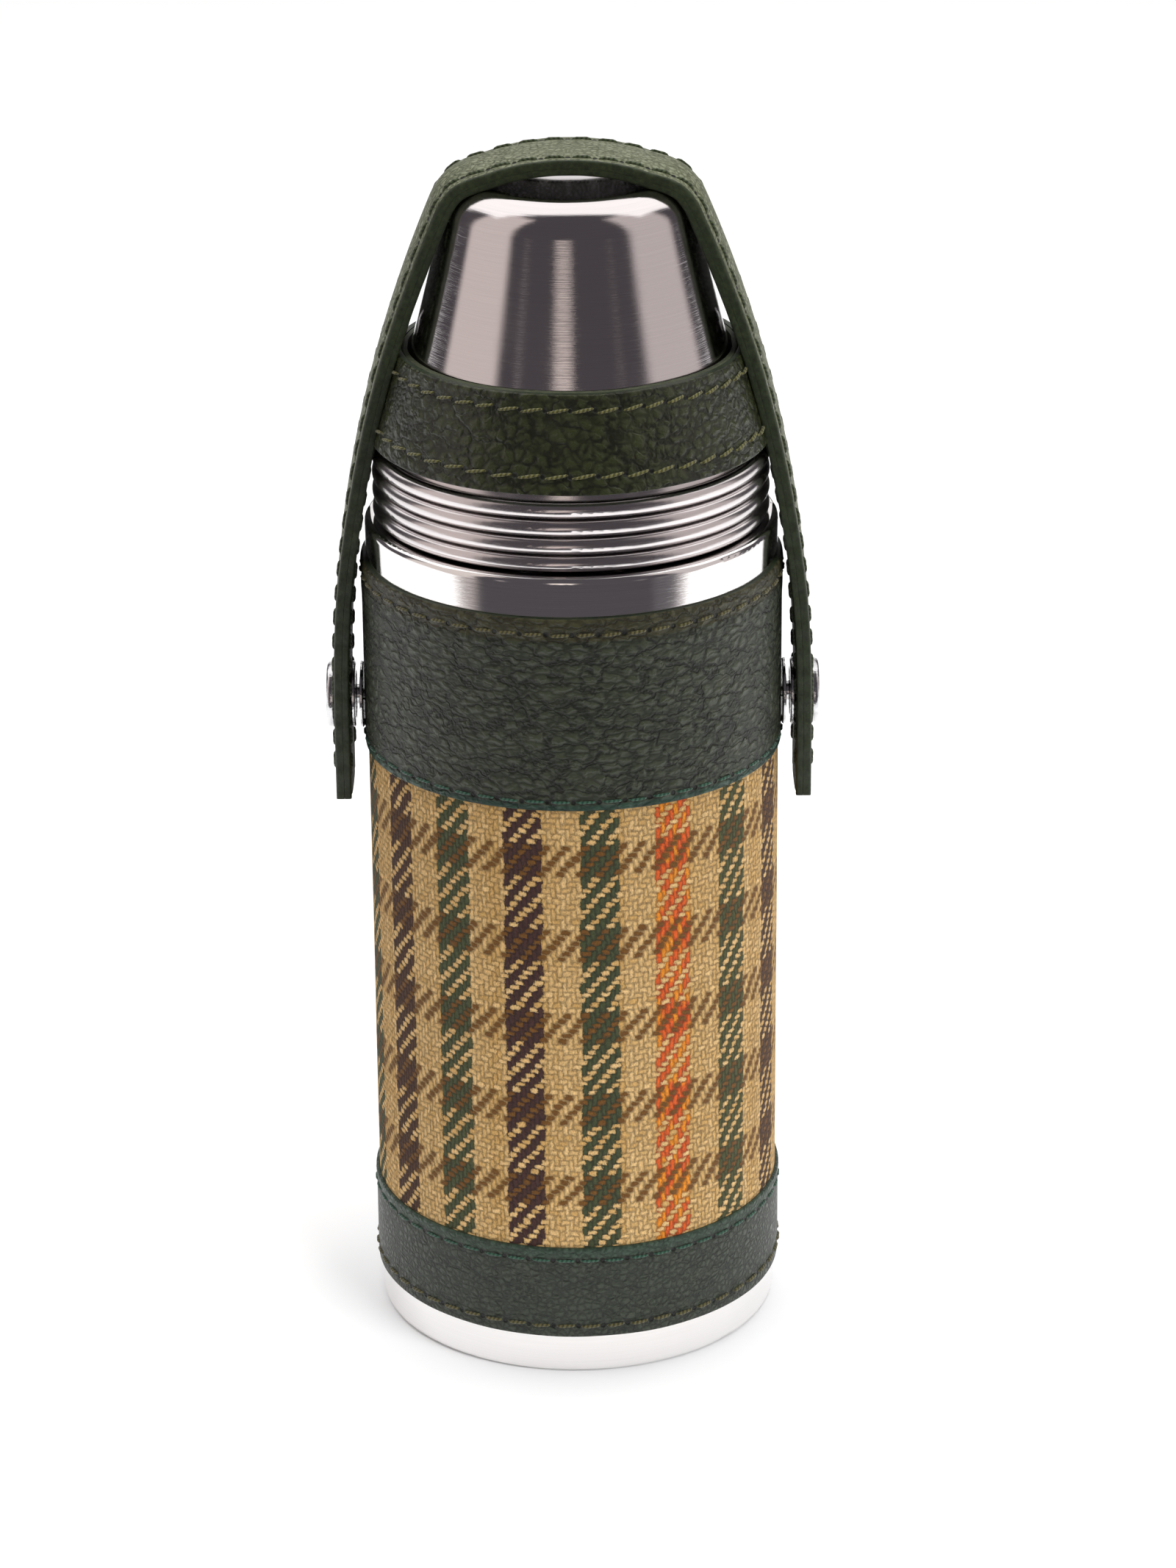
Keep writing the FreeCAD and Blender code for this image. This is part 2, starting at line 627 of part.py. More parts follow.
def harness():
    strap_arch("strap_arch_outer", "glue_gap", "strap_outer_ply")
    strap_arch("strap_arch_lining", "-strap_lining_ply", "0", hole="rivet_hole")
    collar()
    for side, hand in (("left", -1), ("right", 1)):
        harness_rivet(f"harness_rivet_{side}", hand)
        strap_tail(f"{side}_tail_outer", hand, "glue_gap", "strap_outer_ply")
        strap_tail(f"{side}_tail_lining", hand, "-strap_lining_ply", "0")


# ------------------------------------------------------------------------------ the press studs


def press_stud(side, hand):
    """Post, stud, socket, ring spring and button of one fastening. Distances run outwards."""
    rolled = "(stud_face + stud_flange_wall)"
    raised = f"({rolled} + stud_step)"
    turned(f"{side}_snap_post", hand, "snap_height", [
        ("post_bore", "post_board"),
        ("post_flange_radius", "post_board"),
        ("post_flange_radius", "post_board + post_flange_wall"),
        ("post_radius", "post_board + post_flange_wall"),
        ("post_radius", f"{rolled} + post_curl"),
        ("post_bore", f"{rolled} + post_curl"),
    ])
    turned(f"{side}_snap_stud", hand, "snap_height", [
        ("post_radius + glue_gap", "stud_face"),
        ("snap_flange_radius - flange_bevel", "stud_face"),
        ("snap_flange_radius", "stud_face + flange_bevel"),
        ("snap_flange_radius", rolled),
        ("stud_boss_radius + stud_bevel", rolled),
        ("stud_boss_radius", raised),
        ("stud_neck_radius", raised),
        ("stud_neck_radius", "socket_mouth - stud_undercut"),
        ("stud_head_radius", "socket_mouth"),
        ("stud_head_radius", "stud_tip - stud_bevel"),
        ("stud_head_radius - stud_bevel", "stud_tip"),
        (0, "stud_tip"),
        (0, f"{rolled} + post_curl + glue_gap"),
        ("post_radius + glue_gap", f"{rolled} + post_curl + glue_gap"),
    ])
    ceiling = "(socket_mouth + socket_depth)"
    back = "strap_half_span - strap_lining_ply - 2 * glue_gap"
    turned(f"{side}_snap_socket", hand, "snap_height", [
        ("button_post + glue_gap", ceiling),
        ("socket_bore", ceiling),
        ("socket_bore", "socket_mouth"),
        ("snap_flange_radius - flange_bevel", "socket_mouth"),
        ("snap_flange_radius", "socket_mouth + flange_bevel"),
        ("snap_flange_radius", "socket_mouth + socket_edge"),
        ("snap_flange_radius - socket_shoulder", back),
        ("button_post + glue_gap", back),
    ])
    ring_spring(side, hand)
    seat = "(strap_half_span + strap_outer_ply + metal_gap)"
    turned(f"{side}_snap_button", hand, "snap_height", [
        (0, f"{ceiling} + glue_gap"),
        ("button_post", f"{ceiling} + glue_gap"),
        ("button_post", seat),
        ("button_radius - button_lip", seat),
        ("button_radius", f"{seat} + button_lip"),
        ("button_radius", f"{seat} + button_height - button_round", "button_round", 1),
        ("button_radius - button_round", f"{seat} + button_height"),
        (0, f"{seat} + button_height"),
    ])


def ring_spring(side, hand):
    """An open ring of wire in the socket, which grips the stud's head."""
    body = subpart(f"{side}_snap_spring")
    section = circle(body, "wire_section", "XZ_Plane", "spring_radius", "socket_mouth + socket_depth / 2",
                     "spring_wire")
    feature = body.newObject("PartDesign::Revolution", "wire")
    feature.Profile = section
    feature.ReferenceAxis = (section, ["V_Axis"])
    feature.setExpression("Angle", bound("spring_sweep"))
    body.Placement.Rotation = FreeCAD.Rotation(Vector(0, 1, 0), hand * 90)
    body.setExpression("Placement.Base.z", bound("snap_height"))
    doc.recompute()


# ------------------------------------------------------------------------------ the whole flask

flask_tube()
base_pan()
shoulder()
filler_neck()
cap_gasket()
cap_thread_insert()
cap_shell()
for place, name in enumerate(("cup_inner", "cup_second", "cup_third", "cup_outer")):
    cup(name, place)
cover()
harness()
press_stud("left", -1)
press_stud("right", 1)
doc.recompute()

for item in doc.Objects:
    if any(word in item.State for word in ("Invalid", "Error")):
        raise RuntimeError(f"{item.Label} failed: {item.State}")
os.makedirs("parts", exist_ok=True)
for body in subparts:
    shape = body.Shape
    if shape.isNull() or not shape.isValid() or not shape.Solids:
        raise RuntimeError(f"{body.Label} has no valid solid")
    shape.exportStep(f"parts/{body.Label}.step")
    print(f"{body.Label}: {len(shape.Solids)} solid, {shape.Volume:.1f} mm3")
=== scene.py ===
import json
import math

import bmesh
import bpy
import numpy as np
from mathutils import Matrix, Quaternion, Vector


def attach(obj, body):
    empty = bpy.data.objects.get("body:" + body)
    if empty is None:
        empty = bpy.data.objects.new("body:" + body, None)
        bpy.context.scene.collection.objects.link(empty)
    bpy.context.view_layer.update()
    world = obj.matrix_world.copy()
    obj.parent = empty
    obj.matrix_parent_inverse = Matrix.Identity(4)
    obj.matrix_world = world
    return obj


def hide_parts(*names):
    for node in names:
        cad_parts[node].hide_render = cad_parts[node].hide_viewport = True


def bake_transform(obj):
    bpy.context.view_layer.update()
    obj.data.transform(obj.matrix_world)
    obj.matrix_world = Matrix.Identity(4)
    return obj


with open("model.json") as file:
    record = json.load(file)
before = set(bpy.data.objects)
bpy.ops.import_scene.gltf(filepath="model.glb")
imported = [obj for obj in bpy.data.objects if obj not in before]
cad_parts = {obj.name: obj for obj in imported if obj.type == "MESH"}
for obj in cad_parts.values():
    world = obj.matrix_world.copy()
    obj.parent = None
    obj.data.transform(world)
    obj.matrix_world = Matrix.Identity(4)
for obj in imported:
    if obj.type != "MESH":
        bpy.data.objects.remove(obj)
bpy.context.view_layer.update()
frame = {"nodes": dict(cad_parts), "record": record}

# Lengths below are in millimetres and meshes are scaled to metres when they are made. Angles round the
# flask start at the front (-Y) and grow towards +X.
MM = 0.001
FULL_TURN = 2 * math.pi
STITCH = 4.0                    # pitch of every sewn seam
COVER_RADIUS = 33.1             # outside of the leather bands
TWEED_RADIUS = 32.6
BACKING_RADIUS = 31.8
GLUED_RADIUS = BACKING_RADIUS + 0.05
TUCK_RADIUS = TWEED_RADIUS + 0.05      # inside of the bands, where the tweed is tucked under
LOWER_BAND = (6.5, 22.6)        # lower and upper edge of each part of the cover
TWEED = (18.6, 101.7)
UPPER_BAND = (97.7, 129.0)
RIM_TOP = 147.1                 # height over the rolled rims of the nested cups

# ------------------------------------------------------------------------------ node helpers


class Tree:
    """Short ways to add nodes to a material or world."""

    def __init__(self, owner):
        owner.use_nodes = True
        self.tree = owner.node_tree
        self.tree.nodes.clear()

    def node(self, kind, inputs=None, **settings):
        made = self.tree.nodes.new("ShaderNode" + kind)
        for key, value in settings.items():
            setattr(made, key, value)
        for key, value in (inputs or {}).items():
            self.feed(made.inputs[key], value)
        return made

    def feed(self, socket, value):
        if isinstance(value, bpy.types.NodeSocket):
            self.tree.links.new(value, socket)
        elif isinstance(value, tuple) and len(value) == 3 and len(socket.default_value) == 4:
            socket.default_value = (*value, 1)
        else:
            socket.default_value = value

    def math(self, operation, *values):
        return self.node("Math", dict(enumerate(values)), operation=operation).outputs[0]

    def step(self, value, low, high, bottom=0.0, top=1.0):
        """Runs smoothly from bottom to top as value goes from low to high."""
        made = self.node("MapRange", {0: value, 1: low, 2: high, 3: bottom, 4: top},
                         interpolation_type="SMOOTHSTEP")
        return made.outputs[0]

    def band(self, value, low, high, soft):
        """1 from low to high, 0 outside, with edges twice soft wide."""
        return self.math("MULTIPLY", self.step(value, low - soft, low + soft),
                         self.step(value, high - soft, high + soft, 1.0, 0.0))

    def mix(self, share, first, second):
        """first where share is 0, second where it is 1."""
        made = self.node("Mix", {0: share, 6: first, 7: second}, data_type="RGBA")
        return made.outputs[2]

    def tint(self, share, colour, factor):
        """colour, multiplied by factor where share is 1."""
        made = self.node("Mix", {0: share, 6: colour, 7: factor}, data_type="RGBA", blend_type="MULTIPLY")
        return made.outputs[2]

    def grey(self, value):
        return self.node("CombineColor", {0: value, 1: value, 2: value}).outputs[0]

    def vector(self, x, y, z=0.0):
        return self.node("CombineXYZ", {0: x, 1: y, 2: z}).outputs[0]

    def scaled(self, vector, x, y, z):
        made = self.node("VectorMath", {0: vector, 1: (x, y, z)}, operation="MULTIPLY")
        return made.outputs[0]

    def added(self, first, second):
        return self.node("VectorMath", {0: first, 1: second}, operation="ADD").outputs[0]

    def noise(self, vector, scale, detail, rough=0.5):
        return self.node("TexNoise", {"Vector": vector, "Scale": scale, "Detail": detail,
                                      "Roughness": rough})

    def from_edge(self, vector, scale, randomness=1.0):
        """Distance from the nearest edge of a Voronoi cell, in cells."""
        made = self.node("TexVoronoi", {"Vector": vector, "Scale": scale, "Randomness": randomness},
                         feature="DISTANCE_TO_EDGE")
        return made.outputs["Distance"]

    def bump(self, height, distance):
        """The normal of a relief of height times distance, in metres."""
        return self.node("Bump", {"Height": height, "Distance": distance, "Strength": 1.0}).outputs[0]

    def surface(self, **inputs):
        """The shader. Underscores in the names stand for spaces."""
        named = {key.replace("_", " "): value for key, value in inputs.items()}
        shader = self.node("BsdfPrincipled", named)
        self.node("OutputMaterial", {"Surface": shader.outputs[0]})


def new_material(name):
    material = bpy.data.materials.new(name)
    return material, Tree(material)


def object_mm(tree):
    """Position in the row frame, in millimetres."""
    place = tree.node("TexCoord").outputs["Object"]
    return tree.scaled(place, 1000, 1000, 1000)


def flat_mm(tree):
    """(along, across) of a piece's own surface in millimetres, from its UV map."""
    uv = tree.node("UVMap", uv_map="surface_mm").outputs[0]
    split = tree.node("SeparateXYZ", {0: uv})
    return split.outputs[0], split.outputs[1]


# ------------------------------------------------------------------------------ materials


def steel(name, colour, rough, brushing, smudge, rim=0.0):
    """Polished steel with fine turning marks round the flask's axis. rim is how much duller the rolled rims
    are."""
    material, t = new_material(name)
    place = object_mm(t)
    lines = t.noise(t.scaled(place, 0.05, 0.05, 9.0), 1.0, 4.0, 0.6).outputs[0]
    broad = t.noise(t.scaled(place, 0.03, 0.03, 0.9), 1.0, 2.0).outputs[0]
    cloud = t.noise(place, 0.09, 3.0).outputs[0]
    worn = t.math("MULTIPLY", t.step(cloud, 0.45, 0.75), smudge)
    roughness = t.math("ADD", t.step(lines, 0.3, 0.7, rough * 0.8, rough * 1.25), worn)
    tall = t.node("SeparateXYZ", {0: place}).outputs[2]
    roughness = t.math("ADD", roughness, t.step(tall, RIM_TOP - 0.5, RIM_TOP + 0.5, rim, 0.0))
    height = t.math("ADD", t.math("MULTIPLY", lines, brushing), t.math("MULTIPLY", broad, brushing * 0.6))
    t.surface(
        Base_Color=t.mix(t.step(lines, 0.25, 0.75), tuple(c * 0.94 for c in colour), colour),
        Metallic=1.0,
        Roughness=roughness,
        Normal=t.bump(height, 0.00002),
    )
    return material


def stud_metal(name, colour, rough):
    """Bright plated metal with tiny pits and a little tarnish."""
    material, t = new_material(name)
    place = object_mm(t)
    stain = t.noise(place, 0.5, 4.0).outputs[0]
    pits = t.noise(place, 3.5, 2.0).outputs[0]
    t.surface(
        Base_Color=t.mix(t.step(stain, 0.42, 0.7), colour, tuple(c * 0.72 for c in colour)),
        Metallic=1.0,
        Roughness=t.step(pits, 0.35, 0.7, rough, rough * 1.8),
        Normal=t.bump(pits, 0.00003),
    )
    return material


def leather(name, colour, deep, light, rough, pebble, stretch, depth, crease, seams, hems, gloss):
    """Grained leather. Pebbles are about pebble mm wide and stretch times longer along the piece, depth is
    their relief in metres, and crease is how deep the folds between groups of pebbles are. seams are the
    places across the piece of rows of needle holes, hems are (low, high, colour) bands of a different tone,
    and gloss is the specular level."""
    material, t = new_material(name)
    along, across = flat_mm(t)
    place = object_mm(t)
    patch = t.noise(place, 0.16, 3.0).outputs[0]
    flat = t.vector(t.math("DIVIDE", along, stretch), across, t.math("MULTIPLY", patch, 1.5))
    drift = t.noise(place, 0.8 / pebble, 2.0).outputs["Color"]
    warped = t.added(flat, t.scaled(drift, pebble * 0.5, pebble * 0.5, pebble * 0.5))
    edge = t.from_edge(warped, 1.0 / pebble, 0.9)
    small = t.from_edge(warped, 2.1 / pebble)
    leaning = t.vector(t.math("DIVIDE", t.math("ADD", along, t.math("MULTIPLY", across, 0.5)), stretch * 1.5),
                       across, t.math("MULTIPLY", patch, 2.0))
    creased = t.added(leaning, t.scaled(drift, pebble * 1.6, pebble * 1.6, pebble * 1.6))
    fold = t.from_edge(creased, 0.52 / pebble)
    hill = t.step(edge, 0.0, 0.42)
    fine = t.step(small, 0.0, 0.3)
    line = t.math("MULTIPLY", t.step(fold, 0.0, 0.10, 1.0, 0.0), t.step(patch, 0.35, 0.62, 0.3, 1.0))
    height = t.math("ADD", t.math("MULTIPLY", hill, 0.84), t.math("MULTIPLY", fine, 0.16))
    height = t.math("SUBTRACT", height, t.math("MULTIPLY", line, crease))
    # painted shade: the colour darkens to deep in the valleys between pebbles and along the creases
    tone = t.mix(t.step(height, -0.2, 0.55), deep, colour)
    tone = t.mix(t.step(patch, 0.52, 0.85, 0.0, 0.45), tone, light)
    for low, high, other in hems:
        relief = t.grey(t.step(height, -0.2, 0.55, 0.5, 1.1))      # a repainted hem, with painted shade in the grain's valleys and a slight painted highlight on its pebble tops
        share = t.math("MULTIPLY", t.band(across, low, high, 0.25), 0.85)
        tone = t.mix(share, tone, t.tint(1.0, other, relief))
    for place_across in seams:
        phase = t.math("SUBTRACT", t.math("FRACT", t.math("ADD", t.math("DIVIDE", along, STITCH), 0.5)), 0.5)
        away = t.math("POWER", t.math("MULTIPLY", phase, STITCH), 2.0)
        side = t.math("POWER", t.math("SUBTRACT", across, place_across), 2.0)
        hole = t.step(t.math("SQRT", t.math("ADD", away, side)), 0.22, 0.5, 1.0, 0.0)
        # painted shade: each needle hole, only a dent in the relief, is coloured near black
        tone = t.mix(hole, tone, (0.004, 0.005, 0.004))
        height = t.math("SUBTRACT", height, t.math("MULTIPLY", hole, 1.2))
    t.surface(
        Base_Color=tone,
        Roughness=t.step(height, 0.0, 1.0, min(1.0, rough * 1.35), rough * 0.85),
        Specular_IOR_Level=gloss,
        Normal=t.bump(height, depth),
    )
    return material


def smooth_leather(name, colour, deep, rough, scale):
    """Cut edges, linings and backing: short fibres, no pebbles."""
    material, t = new_material(name)
    place = object_mm(t)
    fibre = t.noise(place, scale, 5.0, 0.65).outputs[0]
    patch = t.noise(place, 0.25, 2.0).outputs[0]
    tone = t.mix(t.step(fibre, 0.3, 0.7), deep, colour)
    t.surface(
        Base_Color=t.tint(t.step(patch, 0.4, 0.8, 0.0, 0.5), tone, (0.7, 0.7, 0.7)),
        Roughness=t.step(fibre, 0.2, 0.8, rough * 0.9, min(1.0, rough * 1.2)),
        Normal=t.bump(fibre, 0.00008),
    )
    return material


def thread(name, colour, shade):
    """Twisted sewing thread. Its UV map runs along the stitch and round it."""
    material, t = new_material(name)
    along, around = flat_mm(t)
    twist = t.math("SINE", t.math("ADD", t.math("MULTIPLY", along, 9.0),
                                  t.math("MULTIPLY", around, FULL_TURN)))
    fluff = t.noise(object_mm(t), 4.0, 3.0).outputs[0]
    height = t.math("ADD", t.math("MULTIPLY", twist, 0.5), fluff)
    # painted shade: the colour darkens to shade in the grooves of the twist, and varies at random with the
    # fluff
    t.surface(
        Base_Color=t.mix(t.step(height, -0.1, 1.1), shade, colour),
        Roughness=t.step(fluff, 0.2, 0.8, 0.5, 0.75),
        Normal=t.bump(height, 0.00006),
        Sheen_Weight=0.25,
        Sheen_Roughness=0.4,
    )
    return material


def plastic(name, colour, rough, scale):
    """Moulded plastic or rubber with a fine even grain."""
    material, t = new_material(name)
    grain = t.noise(object_mm(t), scale, 3.0).outputs[0]
    t.surface(
        Base_Color=t.mix(grain, tuple(c * 0.85 for c in colour), colour),
        Roughness=t.step(grain, 0.3, 0.7, rough * 0.85, min(1.0, rough * 1.15)),
        Normal=t.bump(grain, 0.00002),
    )
    return material


TAN = (0.57, 0.345, 0.118)
TAN_LIGHT = (0.74, 0.50, 0.225)
WARP_COLOURS = (          # by stripe, from the one nearest the front towards +X
    (0.060, 0.072, 0.034),    # green
    (0.680, 0.110, 0.020),    # orange
    (0.075, 0.080, 0.030),    # olive green
    (0.085, 0.042, 0.022),    # brown
    (0.060, 0.072, 0.034),
    (0.075, 0.035, 0.022),
    (0.070, 0.080, 0.036),
    (0.062, 0.030, 0.026),    # purple brown
)
WEFT_BROWN = (0.160, 0.072, 0.018)
ENDS = 272                # warp ends once round the flask
REPEAT = 16               # ends from one stripe to the next, and picks from one bar to the next
WARP_PITCH = FULL_TURN * TWEED_RADIUS / ENDS
WEFT_PITCH = 14.15 / REPEAT
STRIPE_CENTRE = 4.0       # the green stripe nearest the front, along the surface
BAR_CENTRE = 60.9         # height of the middle brown bar


def tweed(name):
    """A 2/2 twill: bands of eight coloured ends and eight tan ones, crossed by bars of eight brown picks."""
    material, t = new_material(name)
    along, across = flat_mm(t)
    place = object_mm(t)
    sway = t.node("SeparateXYZ", {0: t.noise(place, 0.35, 2.0).outputs["Color"]})
    jitter = t.node("SeparateXYZ", {0: t.noise(place, 1.6, 2.0).outputs["Color"]})
    fuzz = t.node("SeparateXYZ", {0: t.noise(place, 5.5, 3.0, 0.7).outputs["Color"]})
    moves = []
    for axis in (0, 1):
        slow = t.math("MULTIPLY", t.math("SUBTRACT", sway.outputs[axis], 0.5), 1.1)
        quick = t.math("MULTIPLY", t.math("SUBTRACT", jitter.outputs[axis], 0.5), 0.6)
        hairy = t.math("MULTIPLY", t.math("SUBTRACT", fuzz.outputs[axis], 0.5), 0.9)
        moves.append(t.math("ADD", t.math("ADD", slow, quick), hairy))
    ends = t.math("DIVIDE", t.math("ADD", t.math("SUBTRACT", along, STRIPE_CENTRE), moves[0]), WARP_PITCH)
    picks = t.math("DIVIDE", t.math("ADD", t.math("SUBTRACT", across, BAR_CENTRE), moves[1]), WEFT_PITCH)
    end, pick = t.math("FLOOR", ends), t.math("FLOOR", picks)
    in_end, in_pick = t.math("FRACT", ends), t.math("FRACT", picks)
    phase = t.math("FLOORED_MODULO", t.math("SUBTRACT", end, pick), 4.0)
    warp_up = t.math("LESS_THAN", phase, 1.5)
    # where the point lies on its float, and across the yarn
    on_warp = t.math("MULTIPLY", t.math("ADD", t.math("SUBTRACT", 1.0, phase), in_pick), 0.5)
    on_weft = t.math("MULTIPLY", t.math("ADD", t.math("SUBTRACT", phase, 2.0), in_end), 0.5)
    pick_one = t.node("Mix", {0: warp_up, 2: on_weft, 3: on_warp}, data_type="FLOAT").outputs[0]
    cross = t.node("Mix", {0: warp_up, 2: in_pick, 3: in_end}, data_type="FLOAT").outputs[0]
    arch = t.math("POWER", t.math("SINE", t.math("MULTIPLY", pick_one, math.pi)), 0.6)
    crown = t.math("POWER", t.math("SINE", t.math("MULTIPLY", cross, math.pi)), 0.5)
    yarn = t.math("MULTIPLY", arch, crown)
    # colours
    shifted = t.math("ADD", end, 4.0)
    coloured = t.math("LESS_THAN", t.math("FLOORED_MODULO", shifted, REPEAT), 7.5)
    stripes = len(WARP_COLOURS)
    stripe = t.math("FLOORED_MODULO", t.math("FLOOR", t.math("DIVIDE", shifted, REPEAT)), stripes)
    ramp = t.node("ValToRGB", {0: t.math("DIVIDE", t.math("ADD", stripe, 0.5), stripes)})
    ramp.color_ramp.interpolation = "CONSTANT"
    while len(ramp.color_ramp.elements) < stripes:
        ramp.color_ramp.elements.new(0.99)
    for index, colour in enumerate(WARP_COLOURS):
        ramp.color_ramp.elements[index].position = index / stripes
        ramp.color_ramp.elements[index].color = (*colour, 1)
    own = t.node("TexWhiteNoise", {"W": end}, noise_dimensions="1D").outputs["Value"]
    pick_own = t.node("TexWhiteNoise", {"W": pick}, noise_dimensions="1D").outputs["Value"]
    is_orange = t.math("COMPARE", stripe, 1.0, 0.1)
    flecked = t.noise(t.vector(end, t.math("MULTIPLY", across, 0.16)), 0.9, 1.0).outputs[0]
    amber = t.math("MULTIPLY", is_orange, t.step(flecked, 0.5, 0.56))
    dyed = t.mix(amber, ramp.outputs[0], (0.76, 0.26, 0.022))
    tan_end = t.mix(own, TAN, TAN_LIGHT)
    warp_colour = t.mix(coloured, tan_end, dyed)
    bar = t.math("LESS_THAN", t.math("FLOORED_MODULO", t.math("ADD", pick, 3.0), REPEAT), 5.5)
    weft_colour = t.mix(bar, t.mix(pick_own, TAN, TAN_LIGHT), WEFT_BROWN)
    # wool: mixed fibres, lighter and darker, and painted shade between the yarns
    hairs = t.noise(t.scaled(place, 5.0, 5.0, 2.6), 1.0, 4.0, 0.7).outputs[0]
    # the thicker warp closes over the ends of the weft floats
    shown = t.math("ADD", yarn, t.math("MULTIPLY", t.math("SUBTRACT", hairs, 0.5), 0.8))
    warp_share = t.math("MAXIMUM", warp_up, t.step(shown, 0.26, 0.58, 0.9, 0.0))
    colour = t.mix(warp_share, weft_colour, warp_colour)
    shade = t.step(hairs, 0.25, 0.75, 0.66, 1.3)
    # painted shade in the valleys between yarns, and a slight painted highlight on their crowns
    shade = t.math("MULTIPLY", shade, t.step(yarn, 0.05, 0.75, 0.60, 1.06))
    height = t.math("ADD", yarn, t.math("MULTIPLY", hairs, 0.55))
    t.surface(
        Base_Color=t.tint(1.0, colour, t.grey(shade)),
        Roughness=t.step(hairs, 0.3, 0.7, 0.82, 0.97),
        Specular_IOR_Level=0.15,
        Sheen_Weight=0.08,
        Sheen_Roughness=0.5,
        Normal=t.bump(height, 0.00022),
    )
    return material


MATERIALS = {
    "steel_body": steel("steel_body", (0.93, 0.91, 0.90), rough=0.06, brushing=0.35, smudge=0.04),
    "steel_cup": steel("steel_cup", (0.74, 0.70, 0.70), rough=0.085, brushing=0.5, smudge=0.05, rim=0.10),
    "cap_steel": steel("cap_steel", (0.70, 0.69, 0.69), rough=0.22, brushing=1.0, smudge=0.08),
    "cap_plastic": plastic("cap_plastic", (0.018, 0.018, 0.02), rough=0.5, scale=2.0),
    "gasket_rubber": plastic("gasket_rubber", (0.66, 0.65, 0.62), rough=0.62, scale=1.2),
    "stud_metal": stud_metal("stud_metal", (0.72, 0.72, 0.73), rough=0.13),
    "spring_steel": stud_metal("spring_steel", (0.55, 0.55, 0.56), rough=0.25),
    "backing_leather": smooth_leather("backing_leather", (0.17, 0.10, 0.05), (0.08, 0.045, 0.022),
                                      rough=0.85, scale=1.8),
}
slots = {row["node"]: row["material_slot"] for row in frame["record"]["subparts"]}
for node_name, node in frame["nodes"].items():
    if slots[node_name] in MATERIALS:
        for slot in node.material_slots:
            slot.material = MATERIALS[slots[node_name]]

# ------------------------------------------------------------------------------ mesh helpers

SHARP_ANGLE = 50          # degrees between two faces, from which their edge is drawn sharp
ROUND_STEPS = 4           # parts of each rounded corner


def build(name, points, faces, materials, face_materials, corner_uvs):
    """A mesh object from millimetre points, with its surface_mm UV map."""
    mesh = bpy.data.meshes.new(name)
    mesh.from_pydata((np.asarray(points) * MM).tolist(), [], [list(face) for face in faces])
    for material in materials:
        mesh.materials.append(material)
    mesh.polygons.foreach_set("material_index", np.asarray(face_materials, np.int32))
    mesh.polygons.foreach_set("use_smooth", np.ones(len(faces), bool))
    layer = mesh.uv_layers.new(name="surface_mm")
    layer.data.foreach_set("uv", np.asarray(corner_uvs, np.float32).ravel())
    mesh.set_sharp_from_angle(angle=math.radians(SHARP_ANGLE))
    mesh.update()
    made = bpy.data.objects.new(name, mesh)
    bpy.context.scene.collection.objects.link(made)
    return made


def quads(rows, columns, wrap_rows, wrap_columns):
    """Rows and columns of the corners of a grid's faces. Those of a wrapped grid may run one over."""
    high = rows if wrap_rows else rows - 1
    wide = columns if wrap_columns else columns - 1
    row, column = np.meshgrid(np.arange(high), np.arange(wide), indexing="ij")
    row, column = row.ravel(), column.ravel()
    corner_rows = np.stack([row, row, row + 1, row + 1], axis=1)
    corner_columns = np.stack([column, column + 1, column + 1, column], axis=1)
    return corner_rows, corner_columns


def skin(name, grid, uv, materials, row_materials, ends=0):
    """A closed surface over a grid of points, whose rows wrap. uv is one row larger. The columns wrap too,
    and uv is one column larger, unless ends gives the material, counted from 1, of two end faces."""
    rows, columns = grid.shape[:2]
    corner_rows, corner_columns = quads(rows, columns, True, not ends)
    faces = (corner_rows % rows) * columns + corner_columns % columns
    uvs = uv[corner_rows, corner_columns]
    flat = grid.reshape(-1, 3)
    a, b, c, d = (flat[faces[:, k]] for k in range(4))
    volume = np.einsum("ij,ij->i", a, np.cross(b, c)).sum() + np.einsum("ij,ij->i", a, np.cross(c, d)).sum()
    if volume < 0:
        faces, uvs = faces[:, ::-1], uvs[:, ::-1]
    face_materials = np.asarray(row_materials)[corner_rows[:, 0]]
    face_list, uv_list = faces.tolist(), uvs.reshape(-1, 2)
    if ends:
        first = [row * columns for row in range(rows)]
        last = [row * columns + columns - 1 for row in range(rows)]
        if volume < 0:
            first, last = first[::-1], last[::-1]
        face_list += [first, last[::-1]]
        uv_list = np.concatenate([uv_list, np.zeros((2 * rows, 2))])
        face_materials = np.concatenate([face_materials, [ends - 1, ends - 1]])
    return build(name, flat, face_list, materials, face_materials, uv_list)


def turn_profile(name, profile, segments, materials, row_materials, shape, nominal):
    """Revolves a closed profile of (radius, height). shape(angle, radius, height) may move each point, and
    nominal is the radius that the UV map is unrolled at."""
    angles = np.linspace(-math.pi, math.pi, segments, endpoint=False)
    radius, height = (np.array(column, float)[:, None] for column in zip(*profile))
    angle = angles[None, :] + 0 * radius
    radius, height = radius + 0 * angle, height + 0 * angle
    radius, height = shape(angle, radius, height)
    grid = np.stack([radius * np.sin(angle), -radius * np.cos(angle), height], axis=2)
    rows = len(profile)
    uv = np.zeros((rows + 1, segments + 1, 2))
    uv[:, :, 0] = np.linspace(-math.pi, math.pi, segments + 1)[None, :] * nominal
    uv[:rows, :segments, 1] = height
    uv[rows, :, 1], uv[:rows, segments, 1] = uv[0, :, 1], uv[:rows, 0, 1]
    uv[rows, segments, 1] = uv[0, 0, 1]
    return skin(name, grid, uv, materials, row_materials)


